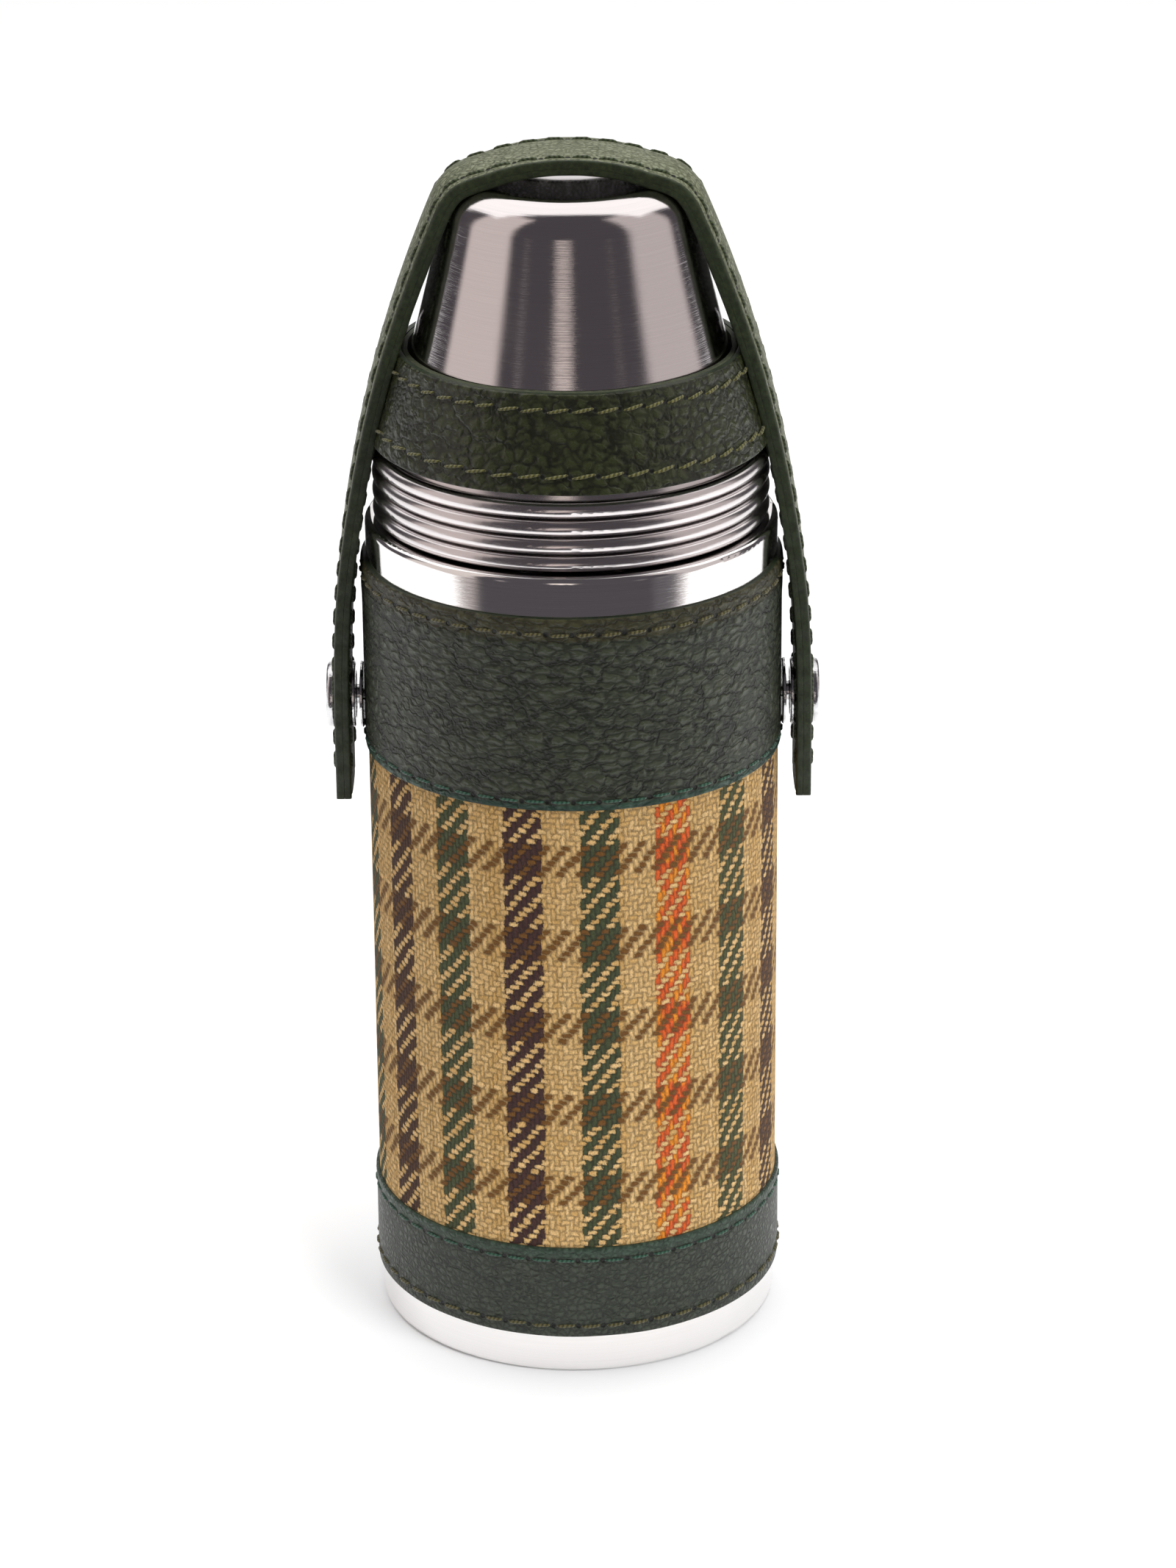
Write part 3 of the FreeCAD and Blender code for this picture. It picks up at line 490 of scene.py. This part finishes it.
def rounded(corners):
    """A closed profile with its corners (x, y, radius) rounded off."""
    out = []
    count = len(corners)
    for index, (x, y, radius) in enumerate(corners):
        here = np.array([x, y], float)
        if radius <= 0:
            out.append(tuple(here))
            continue
        before = np.array(corners[index - 1][:2], float) - here
        after = np.array(corners[(index + 1) % count][:2], float) - here
        before, after = before / np.linalg.norm(before), after / np.linalg.norm(after)
        for share in np.linspace(0, 1, ROUND_STEPS + 1):
            point = here + radius * (before * (1 - share) ** 2 + after * share ** 2)
            out.append(tuple(point))
    return out


def refined(profile, spacing):
    """The closed profile with points added so that none are further apart than spacing."""
    out = []
    for index, here in enumerate(profile):
        there = profile[(index + 1) % len(profile)]
        length = math.dist(here, there)
        count = max(1, math.ceil(length / spacing))
        for step in range(count):
            share = step / count
            out.append((here[0] + (there[0] - here[0]) * share, here[1] + (there[1] - here[1]) * share))
    return out


def ripple(angle, seed, waves=9):
    """A smooth closed wave round the flask, from -1 to 1."""
    source = np.random.default_rng(seed)
    total = 0
    for wave in range(2, 2 + waves):
        total = total + source.normal() / wave * np.sin(wave * angle + source.uniform(0, FULL_TURN))
    return total / 1.2


def tube_of_stitches(name, places, place_on, material, radius, slant):
    """Stitches joined into one mesh. places are (along, across, length), place_on(along, across, height)
    gives points on the leather, and slant is how far each end lies to its side. Both ends of a stitch
    dive into the leather."""
    rings, sides = 9, 10
    run = np.linspace(-1, 1, rings)
    turn = np.linspace(0, FULL_TURN, sides, endpoint=False)
    run_grid, turn_grid = np.meshgrid(run, turn, indexing="ij")
    thick = radius * (1 - 0.35 * np.abs(run_grid) ** 3) * (1 + 0.10 * np.cos(2 * turn_grid - 5.0 * run_grid))
    lift = radius * (0.55 - 1.55 * np.abs(run_grid) ** 5)
    points, faces, uvs = [], [], []
    corner_rows, corner_columns = quads(rings, sides, False, True)
    quad = corner_rows * sides + corner_columns % sides
    for index, (along, across, length) in enumerate(places):
        grid = place_on(along + run_grid * length / 2,
                        across + slant * run_grid + thick * np.cos(turn_grid) * 0.92,
                        lift + thick * np.sin(turn_grid))
        start = index * rings * sides
        points.append(grid.reshape(-1, 3))
        faces += (quad + start).tolist()
        faces.append([start + k for k in range(sides)][::-1])
        faces.append([start + (rings - 1) * sides + k for k in range(sides)])
        uv = np.stack([corner_rows / (rings - 1) * length, corner_columns / sides], axis=2).reshape(-1, 2)
        uvs += [uv, np.zeros((2 * sides, 2))]
    made = build(name, np.concatenate(points), faces, [material], np.zeros(len(faces)), np.concatenate(uvs))
    turned = bmesh.new()
    turned.from_mesh(made.data)
    bmesh.ops.recalc_face_normals(turned, faces=turned.faces)
    turned.to_mesh(made.data)
    turned.free()
    return made


# ------------------------------------------------------------------------------ the cover

GREEN, GREEN_DEEP, GREEN_LIGHT = (0.037, 0.044, 0.026), (0.009, 0.011, 0.007), (0.056, 0.064, 0.038)
OLIVE_HEM = (0.040, 0.037, 0.016)
TEAL_HEM = (0.020, 0.052, 0.036)
band_thread = thread("band_thread", (0.105, 0.095, 0.034), (0.030, 0.028, 0.012))
teal_thread = thread("teal_thread", (0.036, 0.100, 0.064), (0.010, 0.034, 0.022))
olive_thread = thread("olive_thread", (0.125, 0.120, 0.036), (0.035, 0.034, 0.010))
edge_paint = smooth_leather("edge_paint", (0.026, 0.036, 0.018), (0.012, 0.018, 0.010), rough=0.5, scale=1.4)

BAND_STITCHES = 52
# the needle holes are drawn at STITCH along the UV map, so the map is scaled to a whole number of them
BAND_NOMINAL = BAND_STITCHES * STITCH / FULL_TURN


def on_band(radius):
    """A function that gives points at height millimetres over the band's surface."""
    def place(along, across, height):
        angle = along / BAND_NOMINAL
        out = radius + height
        return np.stack([out * np.sin(angle), -out * np.cos(angle), across + 0 * angle], axis=-1)
    return place


def band_stitches(name, across, material, slant, seed, radius=0.30):
    """A row of stitches round one of the cover's bands."""
    source = np.random.default_rng(seed)
    places = []
    for index in range(-BAND_STITCHES // 2, BAND_STITCHES // 2):
        places.append(((index + 0.5) * STITCH + source.normal(0, 0.06), across + source.normal(0, 0.05),
                       STITCH * 0.8 + source.normal(0, 0.08)))
    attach(tube_of_stitches(name, places, on_band(COVER_RADIUS - 0.1), material, radius, slant), "flask")


def bulge(place, centre, size, width):
    """A smooth swelling across the leather."""
    return size * np.exp(-((place - centre) / width) ** 2)


def dimple(angle, height, seam, stitches):
    """How deep a seam with so many stitches a turn pulls the leather in, more at each needle hole."""
    phase = np.cos(angle * stitches)
    return bulge(height, seam, 0.16, 0.55) * (0.62 + 0.38 * phase)


def on_cover(made, node_name):
    """Puts a part of the cover in place of its CAD node."""
    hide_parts(node_name)
    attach(made, "flask")


def leather_band(name, corners, material, shape, node_name):
    """One of the cover's bands: leather outside, and painted on its edges and behind."""
    profile = refined(rounded(corners), 0.5)
    rows = [1 if radius < COVER_RADIUS - 0.3 else 0 for radius, _ in profile]
    made = turn_profile(name, profile, 8 * BAND_STITCHES, [material, edge_paint], rows, shape, BAND_NOMINAL)
    on_cover(made, node_name)


def upper_band():
    low, high = UPPER_BAND
    seams = (99.2, 126.5)
    material = leather("upper_leather", GREEN, GREEN_DEEP, GREEN_LIGHT, rough=0.38, pebble=1.4, stretch=1.8,
                       depth=0.00024, crease=0.7, seams=seams,
                       hems=[(125.4, 130.0, OLIVE_HEM), (97.0, 98.7, TEAL_HEM)], gloss=0.38)
    corners = [(GLUED_RADIUS, high, 0), (COVER_RADIUS, high, 0.45), (COVER_RADIUS, low, 0.3),
               (TUCK_RADIUS, low, 0), (TUCK_RADIUS, TWEED[1] + 0.05, 0), (GLUED_RADIUS, TWEED[1] + 0.05, 0)]

    def shape(angle, radius, height):
        outer = np.clip((radius - COVER_RADIUS + 0.5) / 0.5, 0, 1)
        swell = bulge(height, 127.6, 0.16, 1.0) + bulge(height, 124.2, 0.1, 1.6)
        swell = swell - bulge(height, 125.5, 0.1, 0.35) + 0.03 * ripple(angle, 3)
        for seam in seams:
            swell = swell - dimple(angle, height, seam, BAND_STITCHES)
        edge = np.clip((low + 1.5 - height) / 1.5, 0, 1)
        return radius + outer * swell, height + edge * 0.12 * ripple(angle, 5)

    leather_band("upper_band", corners, material, shape, "upper_leather_band")
    band_stitches("upper_band_top_stitches", seams[1], band_thread, slant=0.1, seed=11)
    band_stitches("upper_band_low_stitches", seams[0], teal_thread, slant=0.0, seed=12, radius=0.24)


def lower_band():
    low, high = LOWER_BAND
    seams = (8.7, 20.4)
    material = leather("lower_leather", (0.033, 0.042, 0.028), (0.010, 0.013, 0.009), (0.048, 0.058, 0.038),
                       rough=0.36, pebble=1.0, stretch=1.2, depth=0.00018, crease=0.35, seams=seams,
                       hems=[(20.9, 23.5, (0.030, 0.056, 0.036))], gloss=0.4)
    corners = [(GLUED_RADIUS, low, 0), (COVER_RADIUS, low, 0.5), (COVER_RADIUS, high, 0.35),
               (TUCK_RADIUS, high, 0), (TUCK_RADIUS, TWEED[0] - 0.05, 0), (GLUED_RADIUS, TWEED[0] - 0.05, 0)]

    def shape(angle, radius, height):
        outer = np.clip((radius - COVER_RADIUS + 0.5) / 0.5, 0, 1)
        swell = bulge(height, 21.9, 0.12, 0.8) + 0.03 * ripple(angle, 7)
        for seam in seams:
            swell = swell - dimple(angle, height, seam, BAND_STITCHES)
        bottom = np.clip((low + 1.5 - height) / 1.5, 0, 1)
        return radius + outer * swell, height + bottom * (0.12 + 0.12 * ripple(angle, 8, 16))

    leather_band("lower_band", corners, material, shape, "lower_leather_band")
    band_stitches("lower_band_top_stitches", seams[1], teal_thread, slant=0.0, seed=13, radius=0.24)
    band_stitches("lower_band_low_stitches", seams[0], band_thread, slant=0.1, seed=14)


def tweed_sleeve():
    low, high = TWEED
    corners = [(GLUED_RADIUS, low), (TWEED_RADIUS, low), (TWEED_RADIUS, high), (GLUED_RADIUS, high)]
    profile = refined(corners, 1.2)

    def shape(angle, radius, height):
        outer = np.clip((radius - GLUED_RADIUS) / 0.7, 0, 1)
        return radius + outer * 0.03 * ripple(angle + height / 40, 21), height

    rows = [0] * len(profile)
    made = turn_profile("tweed_cloth", profile, ENDS, [tweed("tweed")], rows, shape, TWEED_RADIUS)
    on_cover(made, "tweed_sleeve")


upper_band()
lower_band()
tweed_sleeve()

# ------------------------------------------------------------------------------ the collar

# The strap's middle layer, in the XZ plane: a straight tail, a long side curve, a corner and a flat arch.
# The collar needs it too, since it is pressed flat where the strap lies against it.
HALF_SPAN, BEND_HEIGHT, END_HEIGHT = 36.35, 105.5, 89.6
CORNER_ACROSS, CORNER_HEIGHT, CORNER_RADIUS, STRAP_TOP = 12.9, 182.45, 7.6, 192.05
STRAP_WIDTH, OUTER_PLY, LINING_PLY = 14.5, 1.3, 1.1
LEAN_IN, RISE, FALL = CORNER_ACROSS - HALF_SPAN, CORNER_HEIGHT - BEND_HEIGHT, CORNER_HEIGHT - STRAP_TOP
SIDE_RADIUS = (CORNER_RADIUS ** 2 - LEAN_IN ** 2 - RISE ** 2) / (2 * (LEAN_IN + CORNER_RADIUS))
ARCH_RADIUS = (CORNER_RADIUS ** 2 - CORNER_ACROSS ** 2 - FALL ** 2) / (2 * (FALL + CORNER_RADIUS))
SIDE_CENTRE = HALF_SPAN - SIDE_RADIUS

COLLAR_LOW, COLLAR_HIGH = 148.2, 162.5
COLLAR_LOW_RADIUS, COLLAR_HIGH_RADIUS = 31.2, 27.15
COLLAR_LEAN = (COLLAR_HIGH_RADIUS - COLLAR_LOW_RADIUS) / (COLLAR_HIGH - COLLAR_LOW)
COLLAR_STITCHES = 46
COLLAR_NOMINAL = COLLAR_STITCHES * STITCH / FULL_TURN
OLIVE, OLIVE_DEEP, OLIVE_LIGHT = (0.023, 0.028, 0.010), (0.006, 0.007, 0.003), (0.038, 0.045, 0.018)


def collar_flare(angle, height):
    """The lower edge stands out a little, most at the front and back."""
    down = np.clip((COLLAR_HIGH - height) / (COLLAR_HIGH - COLLAR_LOW), 0, 1)
    return (0.75 * down ** 3) * np.cos(angle) ** 2


def collar_radius(angle, height):
    """The collar's outside, pressed flat where the strap lies against it."""
    radius = COLLAR_LOW_RADIUS + COLLAR_LEAN * (height - COLLAR_LOW) + collar_flare(angle, height)
    lean = np.arcsin((height - BEND_HEIGHT) / SIDE_RADIUS)
    strap_inside = SIDE_CENTRE + (SIDE_RADIUS - LINING_PLY - 0.08) * np.cos(lean)
    across = np.abs(radius * np.cos(angle))
    pressed = np.clip((STRAP_WIDTH / 2 + 2.2 - across) / 2.0, 0, 1)
    pressed = pressed * pressed * (3 - 2 * pressed)
    flat = strap_inside / np.maximum(np.abs(np.sin(angle)), 0.5)
    return radius - pressed * np.maximum(radius - flat, 0)


def on_collar(along, across, height):
    """Points of the collar, height millimetres above its outer face."""
    angle = along / COLLAR_NOMINAL
    out = collar_radius(angle, across) + height
    return np.stack([out * np.sin(angle), -out * np.cos(angle), across + 0.25 * height], axis=-1)


def collar():
    seams = (COLLAR_LOW + 2.6, COLLAR_HIGH - 2.3)
    skin_leather = leather("collar_leather", OLIVE, OLIVE_DEEP, OLIVE_LIGHT, rough=0.29, pebble=1.7,
                           stretch=1.2, depth=0.00015, crease=0.5, seams=seams, hems=(), gloss=0.5)
    lining = smooth_leather("collar_lining_leather", (0.060, 0.070, 0.040), (0.03, 0.036, 0.02),
                            rough=0.7, scale=1.2)
    for name, outer, inner, node_name, slot_name in (
        ("collar_skin", 0.0, 1.1, "collar_outer", "green_leather"),
        ("collar_inside", 1.16, 2.05, "collar_lining", "strap_lining"),
    ):
        corners = rounded([(-inner, COLLAR_LOW, 0.1), (-outer, COLLAR_LOW, 0.3), (-outer, COLLAR_HIGH, 0.3),
                           (-inner, COLLAR_HIGH, 0.1)])
        profile = refined(corners, 0.45)

        def shape(angle, offset, height, outer=outer):
            radius = collar_radius(angle, height) + offset
            face = np.clip(1 - (-outer - offset) / 0.3, 0, 1) if outer == 0 else 0
            for seam in seams:
                radius = radius - face * dimple(angle, height, seam, COLLAR_STITCHES)
            radius = radius + face * 0.04 * ripple(angle, 31)
            return radius, height + 0.10 * ripple(angle, 33)

        rows = [0 if offset > -outer - 0.25 else 1 for offset, _ in profile]
        materials = [skin_leather, edge_paint] if outer == 0 else [lining, lining]
        made = turn_profile(name, profile, 8 * COLLAR_STITCHES, materials, rows, shape, COLLAR_NOMINAL)
        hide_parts(node_name)
        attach(made, "harness")
    source = np.random.default_rng(41)
    for name, across in (("collar_low_stitches", seams[0]), ("collar_top_stitches", seams[1])):
        places = []
        for index in range(-COLLAR_STITCHES // 2, COLLAR_STITCHES // 2):
            along = (index + 0.5) * STITCH + source.normal(0, 0.08)
            if abs(math.sin(along / COLLAR_NOMINAL)) > 0.985:      # under the strap
                continue
            places.append((along, across + source.normal(0, 0.06), STITCH * 0.84 + source.normal(0, 0.1)))
        stitches = tube_of_stitches(name, places, on_collar, olive_thread, radius=0.27, slant=0.30)
        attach(stitches, "harness")


collar()

# ------------------------------------------------------------------------------ the strap


def strap_line():
    """The strap's middle layer from the top of the arch to the end of the right tail: points, outward
    normals and distance from the top."""
    spacing = 0.6
    arch_centre = np.array([0.0, STRAP_TOP - ARCH_RADIUS])
    corner = np.array([CORNER_ACROSS, CORNER_HEIGHT])
    side = np.array([SIDE_CENTRE, BEND_HEIGHT])
    arch_end = math.atan2(*(corner - arch_centre))                      # from straight up
    corner_end = math.pi / 2 - math.atan2(*(corner - side)[::-1])       # from straight up
    runs = [(arch_centre, ARCH_RADIUS, 0.0, arch_end), (corner, CORNER_RADIUS, arch_end, corner_end),
            (side, SIDE_RADIUS, corner_end, math.pi / 2)]
    points, normals = [], []
    for centre, radius, first, last in runs:
        count = max(2, math.ceil(radius * (last - first) / spacing))
        for angle in np.linspace(first, last, count, endpoint=False):
            normal = np.array([math.sin(angle), math.cos(angle)])
            points.append(centre + radius * normal)
            normals.append(normal)
    for height in np.linspace(BEND_HEIGHT, END_HEIGHT, math.ceil((BEND_HEIGHT - END_HEIGHT) / spacing) + 1):
        points.append(np.array([HALF_SPAN, height]))
        normals.append(np.array([1.0, 0.0]))
    points, normals = np.array(points), np.array(normals)
    walked = np.concatenate([[0], np.cumsum(np.linalg.norm(np.diff(points, axis=0), axis=1))])
    return points, normals, walked


LINE, NORMALS, WALKED = strap_line()
STRAP_LENGTH = WALKED[-1]


MOULDING = (      # (height, how far the edges lie in)
    (100, 0.0), (122, 0.1), (140, 0.5), (160, 0.7), (176, 1.1), (187, 1.2), (190.5, 0.8), (191.5, 0.35),
    (192, 0.2),
)


def moulding(walked):
    """How far the strap's long edges lie inside its middle, where it is moulded round the cups."""
    height = np.interp(walked, WALKED, LINE[:, 1])
    heights, depths = zip(*MOULDING)
    return np.interp(height, heights, depths)


def on_strap(hand, face):
    """Points of the strap, height millimetres above its outer face (face 1) or its lining (face -1)."""
    surface = OUTER_PLY if face > 0 else -LINING_PLY

    def place(along, across, height):
        x = np.interp(along, WALKED, LINE[:, 0])
        z = np.interp(along, WALKED, LINE[:, 1])
        normal_x = np.interp(along, WALKED, NORMALS[:, 0])
        normal_z = np.interp(along, WALKED, NORMALS[:, 1])
        out = surface + face * height - moulding(along) * (across / (STRAP_WIDTH / 2)) ** 2
        return np.stack([hand * (x + normal_x * out), across + 0 * x, z + normal_z * out], axis=-1)
    return place


def strap_layer(name, hand, low, high, materials, seam, groove):
    """One layer of half the strap, from offset low to high, rounded and slightly grooved at its seams."""
    half = STRAP_WIDTH / 2
    under, over = (0.04, 0.4) if groove > 0 else (0.4, 0.04)
    outline = rounded([(-half, low, under), (half, low, under), (half, high, over), (-half, high, over)])
    section = refined(outline, 0.5)
    across, offset = np.array(section).T
    faces = []
    for index in range(len(section)):
        after = (index + 1) % len(section)
        middle = (across[index] + across[after]) / 2
        flat = abs(offset[index] - offset[after]) < 1e-6
        faces.append(0 if flat and abs(middle) < half - 0.25 else 1)
    walked = WALKED[None, :] + 0 * across[:, None]
    wide = across[:, None] + 0 * walked
    out = offset[:, None] + 0 * walked
    shown = (out > high - 0.05) if groove > 0 else (out < low + 0.05)
    needle = np.cos(FULL_TURN * walked / STITCH)
    pull = bulge(np.abs(wide), seam, 0.14, 0.5) * (0.6 + 0.4 * needle)
    crown = 0.10 * np.cos(wide / half * math.pi / 2)
    out = out + np.where(shown, groove * (crown - pull), 0)
    edge = np.clip((np.abs(wide) - half + 0.5) / 0.5, 0, 1) * np.sign(wide)
    wide = wide + edge * 0.04 * needle
    out = out - moulding(walked) * (wide / half) ** 2
    x = LINE[None, :, 0] + NORMALS[None, :, 0] * out
    z = LINE[None, :, 1] + NORMALS[None, :, 1] * out
    grid = np.stack([hand * x, wide, z], axis=2)
    rows = len(section)
    uv = np.zeros((rows + 1, len(WALKED), 2))
    uv[:, :, 0] = WALKED[None, :]
    uv[:rows, :, 1] = across[:, None]
    uv[rows, :, 1] = across[0]
    return skin(name, grid, uv, materials, faces, ends=2)


def strap():
    """Both halves of the strap. Each is one length from the top of the arch to the end of its tail."""
    seam = STRAP_WIDTH / 2 - 1.75
    face = leather("strap_leather", (0.165, 0.180, 0.112), (0.055, 0.064, 0.032), (0.22, 0.235, 0.155),
                   rough=0.42, pebble=0.9, stretch=1.1, depth=0.00022, crease=0.4, seams=(-seam, seam),
                   hems=(), gloss=0.4)
    inside = leather("strap_lining_leather", (0.040, 0.052, 0.028), (0.018, 0.024, 0.012),
                     (0.055, 0.066, 0.036), rough=0.5, pebble=0.7, stretch=1.1, depth=0.0001, crease=0.2,
                     seams=(-seam, seam), hems=(), gloss=0.3)
    strap_edge = smooth_leather("strap_edge", (0.026, 0.036, 0.015), (0.011, 0.016, 0.007),
                                rough=0.45, scale=1.6)
    dark_thread = thread("dark_thread", (0.050, 0.066, 0.028), (0.014, 0.020, 0.009))
    source = np.random.default_rng(51)
    for side, hand in (("left", -1), ("right", 1)):
        layers = (
            (f"strap_face_{side}", 0.02, OUTER_PLY, [face, strap_edge], 1,
             ("strap_arch_outer", f"{side}_tail_outer"), "strap_leather"),
            (f"strap_inside_{side}", -LINING_PLY, 0.0, [inside, strap_edge], -1,
             ("strap_arch_lining", f"{side}_tail_lining"), "strap_lining"),
        )
        made = []
        for name, low, high, materials, groove, nodes, slot_name in layers:
            layer = strap_layer(name, hand, low, high, materials, seam, groove)
            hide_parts(*nodes)
            made.append(layer)
        for name, facing in ((f"strap_stitches_{side}", 1), (f"strap_inside_stitches_{side}", -1)):
            places = []
            for index in range(int(STRAP_LENGTH / STITCH)):
                for edge in (-seam, seam):
                    along = (index + 0.5) * STITCH + source.normal(0, 0.06)
                    if along + STITCH / 2 > STRAP_LENGTH - 0.8:
                        continue
                    side_step, length = source.normal(0, 0.06), STITCH * 0.8 + source.normal(0, 0.08)
                    places.append((along, edge + side_step, length))
            made.append(tube_of_stitches(name, places, on_strap(hand, facing), dark_thread,
                                         radius=0.25, slant=0.12))
        for piece in made:      # each piece's transform is baked into its mesh
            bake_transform(piece)


strap()

# ------------------------------------------------------------------------------ floor, light and camera


def floor():
    """A wide pale floor, not attached to the object's bodies."""
    material, t = new_material("studio_floor")
    place = object_mm(t)
    speck = t.noise(place, 0.02, 2.0).outputs[0]
    distance = t.node("VectorMath", {0: place}, operation="LENGTH").outputs["Value"]
    # far out, where the lamps fade, the floor glows as bright as the backdrop
    far = t.step(distance, 500, 1500)
    pale = t.mix(speck, (0.89, 0.905, 0.91), (0.92, 0.935, 0.94))
    t.surface(
        Base_Color=t.mix(far, pale, (0, 0, 0)),
        Roughness=0.9,
        Emission_Color=(1, 1, 1),
        Emission_Strength=t.math("MULTIPLY", far, 0.98),
    )
    left, right, front, back = -2500, 2500, -175, 4000
    points = [(left, front, 0), (right, front, 0), (right, back, 0), (left, back, 0)]
    corners = [(0, 0), (1, 0), (1, 1), (0, 1)]
    made = build("studio_floor", points, [(0, 1, 2, 3)], [material], [0], corners)


def studio():
    """The surroundings that the steel reflects: tall soft boxes at both sides, strips between them, a soft
    roof, a low band behind, and dark elsewhere. The camera itself sees a plain white backdrop."""
    world = bpy.data.worlds.new("studio")
    bpy.context.scene.world = world
    t = Tree(world)
    direction = t.node("SeparateXYZ", {0: t.node("TexCoord").outputs["Generated"]})
    x, y, z = direction.outputs
    azimuth = t.math("MULTIPLY", t.math("ARCTAN2", x, t.math("MULTIPLY", y, -1.0)), 180 / math.pi)
    elevation = t.math("MULTIPLY", t.math("ARCSINE", z), 180 / math.pi)
    total = (0.080, 0.072, 0.080)
    boxes = (
        # azimuth from, to, elevation from, to, edge, colour
        (-100, -54, -20, 62, 4.0, (0.72, 0.64, 0.61)),
        (58, 107, -20, 62, 4.0, (0.62, 0.56, 0.55)),
        (-11.5, 1.5, -6, 12.6, 1.2, (0.98, 0.86, 0.80)),
        (-40, -36.5, -8, 9, 1.0, (0.36, 0.32, 0.32)),
        (36, 38.5, -8, 9, 1.0, (0.30, 0.27, 0.27)),
        (46, 60, -20, 4, 2.0, (0.17, 0.16, 0.17)),
    )
    for left, right, low, high, soft, colour in boxes:
        inside = t.math("MULTIPLY", t.band(azimuth, left, right, soft), t.band(elevation, low, high, soft))
        total = t.mix(inside, total, colour)
    pitch = t.math("MULTIPLY", t.math("ARCTAN2", z, t.math("MULTIPLY", y, -1.0)), 180 / math.pi)
    above = t.math("MULTIPLY", t.step(pitch, 86, 93), t.step(pitch, 142, 148, 1.0, 0.0))
    above = t.math("MULTIPLY", above, t.step(t.math("ABSOLUTE", x), 0.70, 0.78, 1.0, 0.0))
    total = t.mix(above, total, (1.36, 1.33, 1.32))
    behind = t.math("MULTIPLY", t.step(t.math("ABSOLUTE", azimuth), 160, 168),
                    t.math("MULTIPLY", t.step(elevation, 2, 8), t.step(elevation, 20, 28, 1.0, 0.0)))
    total = t.mix(behind, total, (0.95, 0.93, 0.93))
    seen = t.node("LightPath").outputs["Is Camera Ray"]
    total = t.mix(seen, total, (0.98, 0.98, 0.98))
    background = t.node("Background", {0: total, 1: 1.0})
    t.node("OutputWorld", {0: background.outputs[0]})


def lamp(name, place, target, width, height, power):
    """A soft rectangular lamp that lights the object and isn't seen in the steel."""
    data = bpy.data.lights.new(name, "AREA")
    data.shape = "RECTANGLE"
    data.size, data.size_y = width, height
    data.energy = power
    made = bpy.data.objects.new(name, data)
    made.location = place
    made.rotation_euler = (Vector(target) - Vector(place)).to_track_quat("-Z", "Y").to_euler()
    made.visible_camera = False
    made.visible_glossy = False
    bpy.context.scene.collection.objects.link(made)


def camera():
    """A long lens in front of the flask and above it, turned a little about its own axis."""
    data = bpy.data.cameras.new("camera")
    data.lens = 110.92
    data.sensor_width = 36
    data.clip_start, data.clip_end = 0.01, 50
    made = bpy.data.objects.new("camera", data)
    place = Vector((0.00227, -0.7168, 0.3796))
    target = Vector((0.00227, 0.0, 0.0889))
    turn = (target - place).to_track_quat("-Z", "Y")
    roll = Quaternion((0, 0, 1), -0.0083)
    made.location = place
    made.rotation_mode = "QUATERNION"
    made.rotation_quaternion = turn @ roll
    bpy.context.scene.collection.objects.link(made)
    bpy.context.scene.camera = made


floor()
studio()
camera()
lamp("overhead", (0.0, 0.1, 1.5), (0, 0, 0.05), width=1.4, height=1.2, power=16)
lamp("front_left", (-0.8, -0.9, 0.75), (0, 0, 0.09), width=0.7, height=0.9, power=3)
lamp("front_right", (0.8, -0.9, 0.75), (0, 0, 0.09), width=0.7, height=0.9, power=13)
bpy.context.scene.view_settings.view_transform = "Standard"
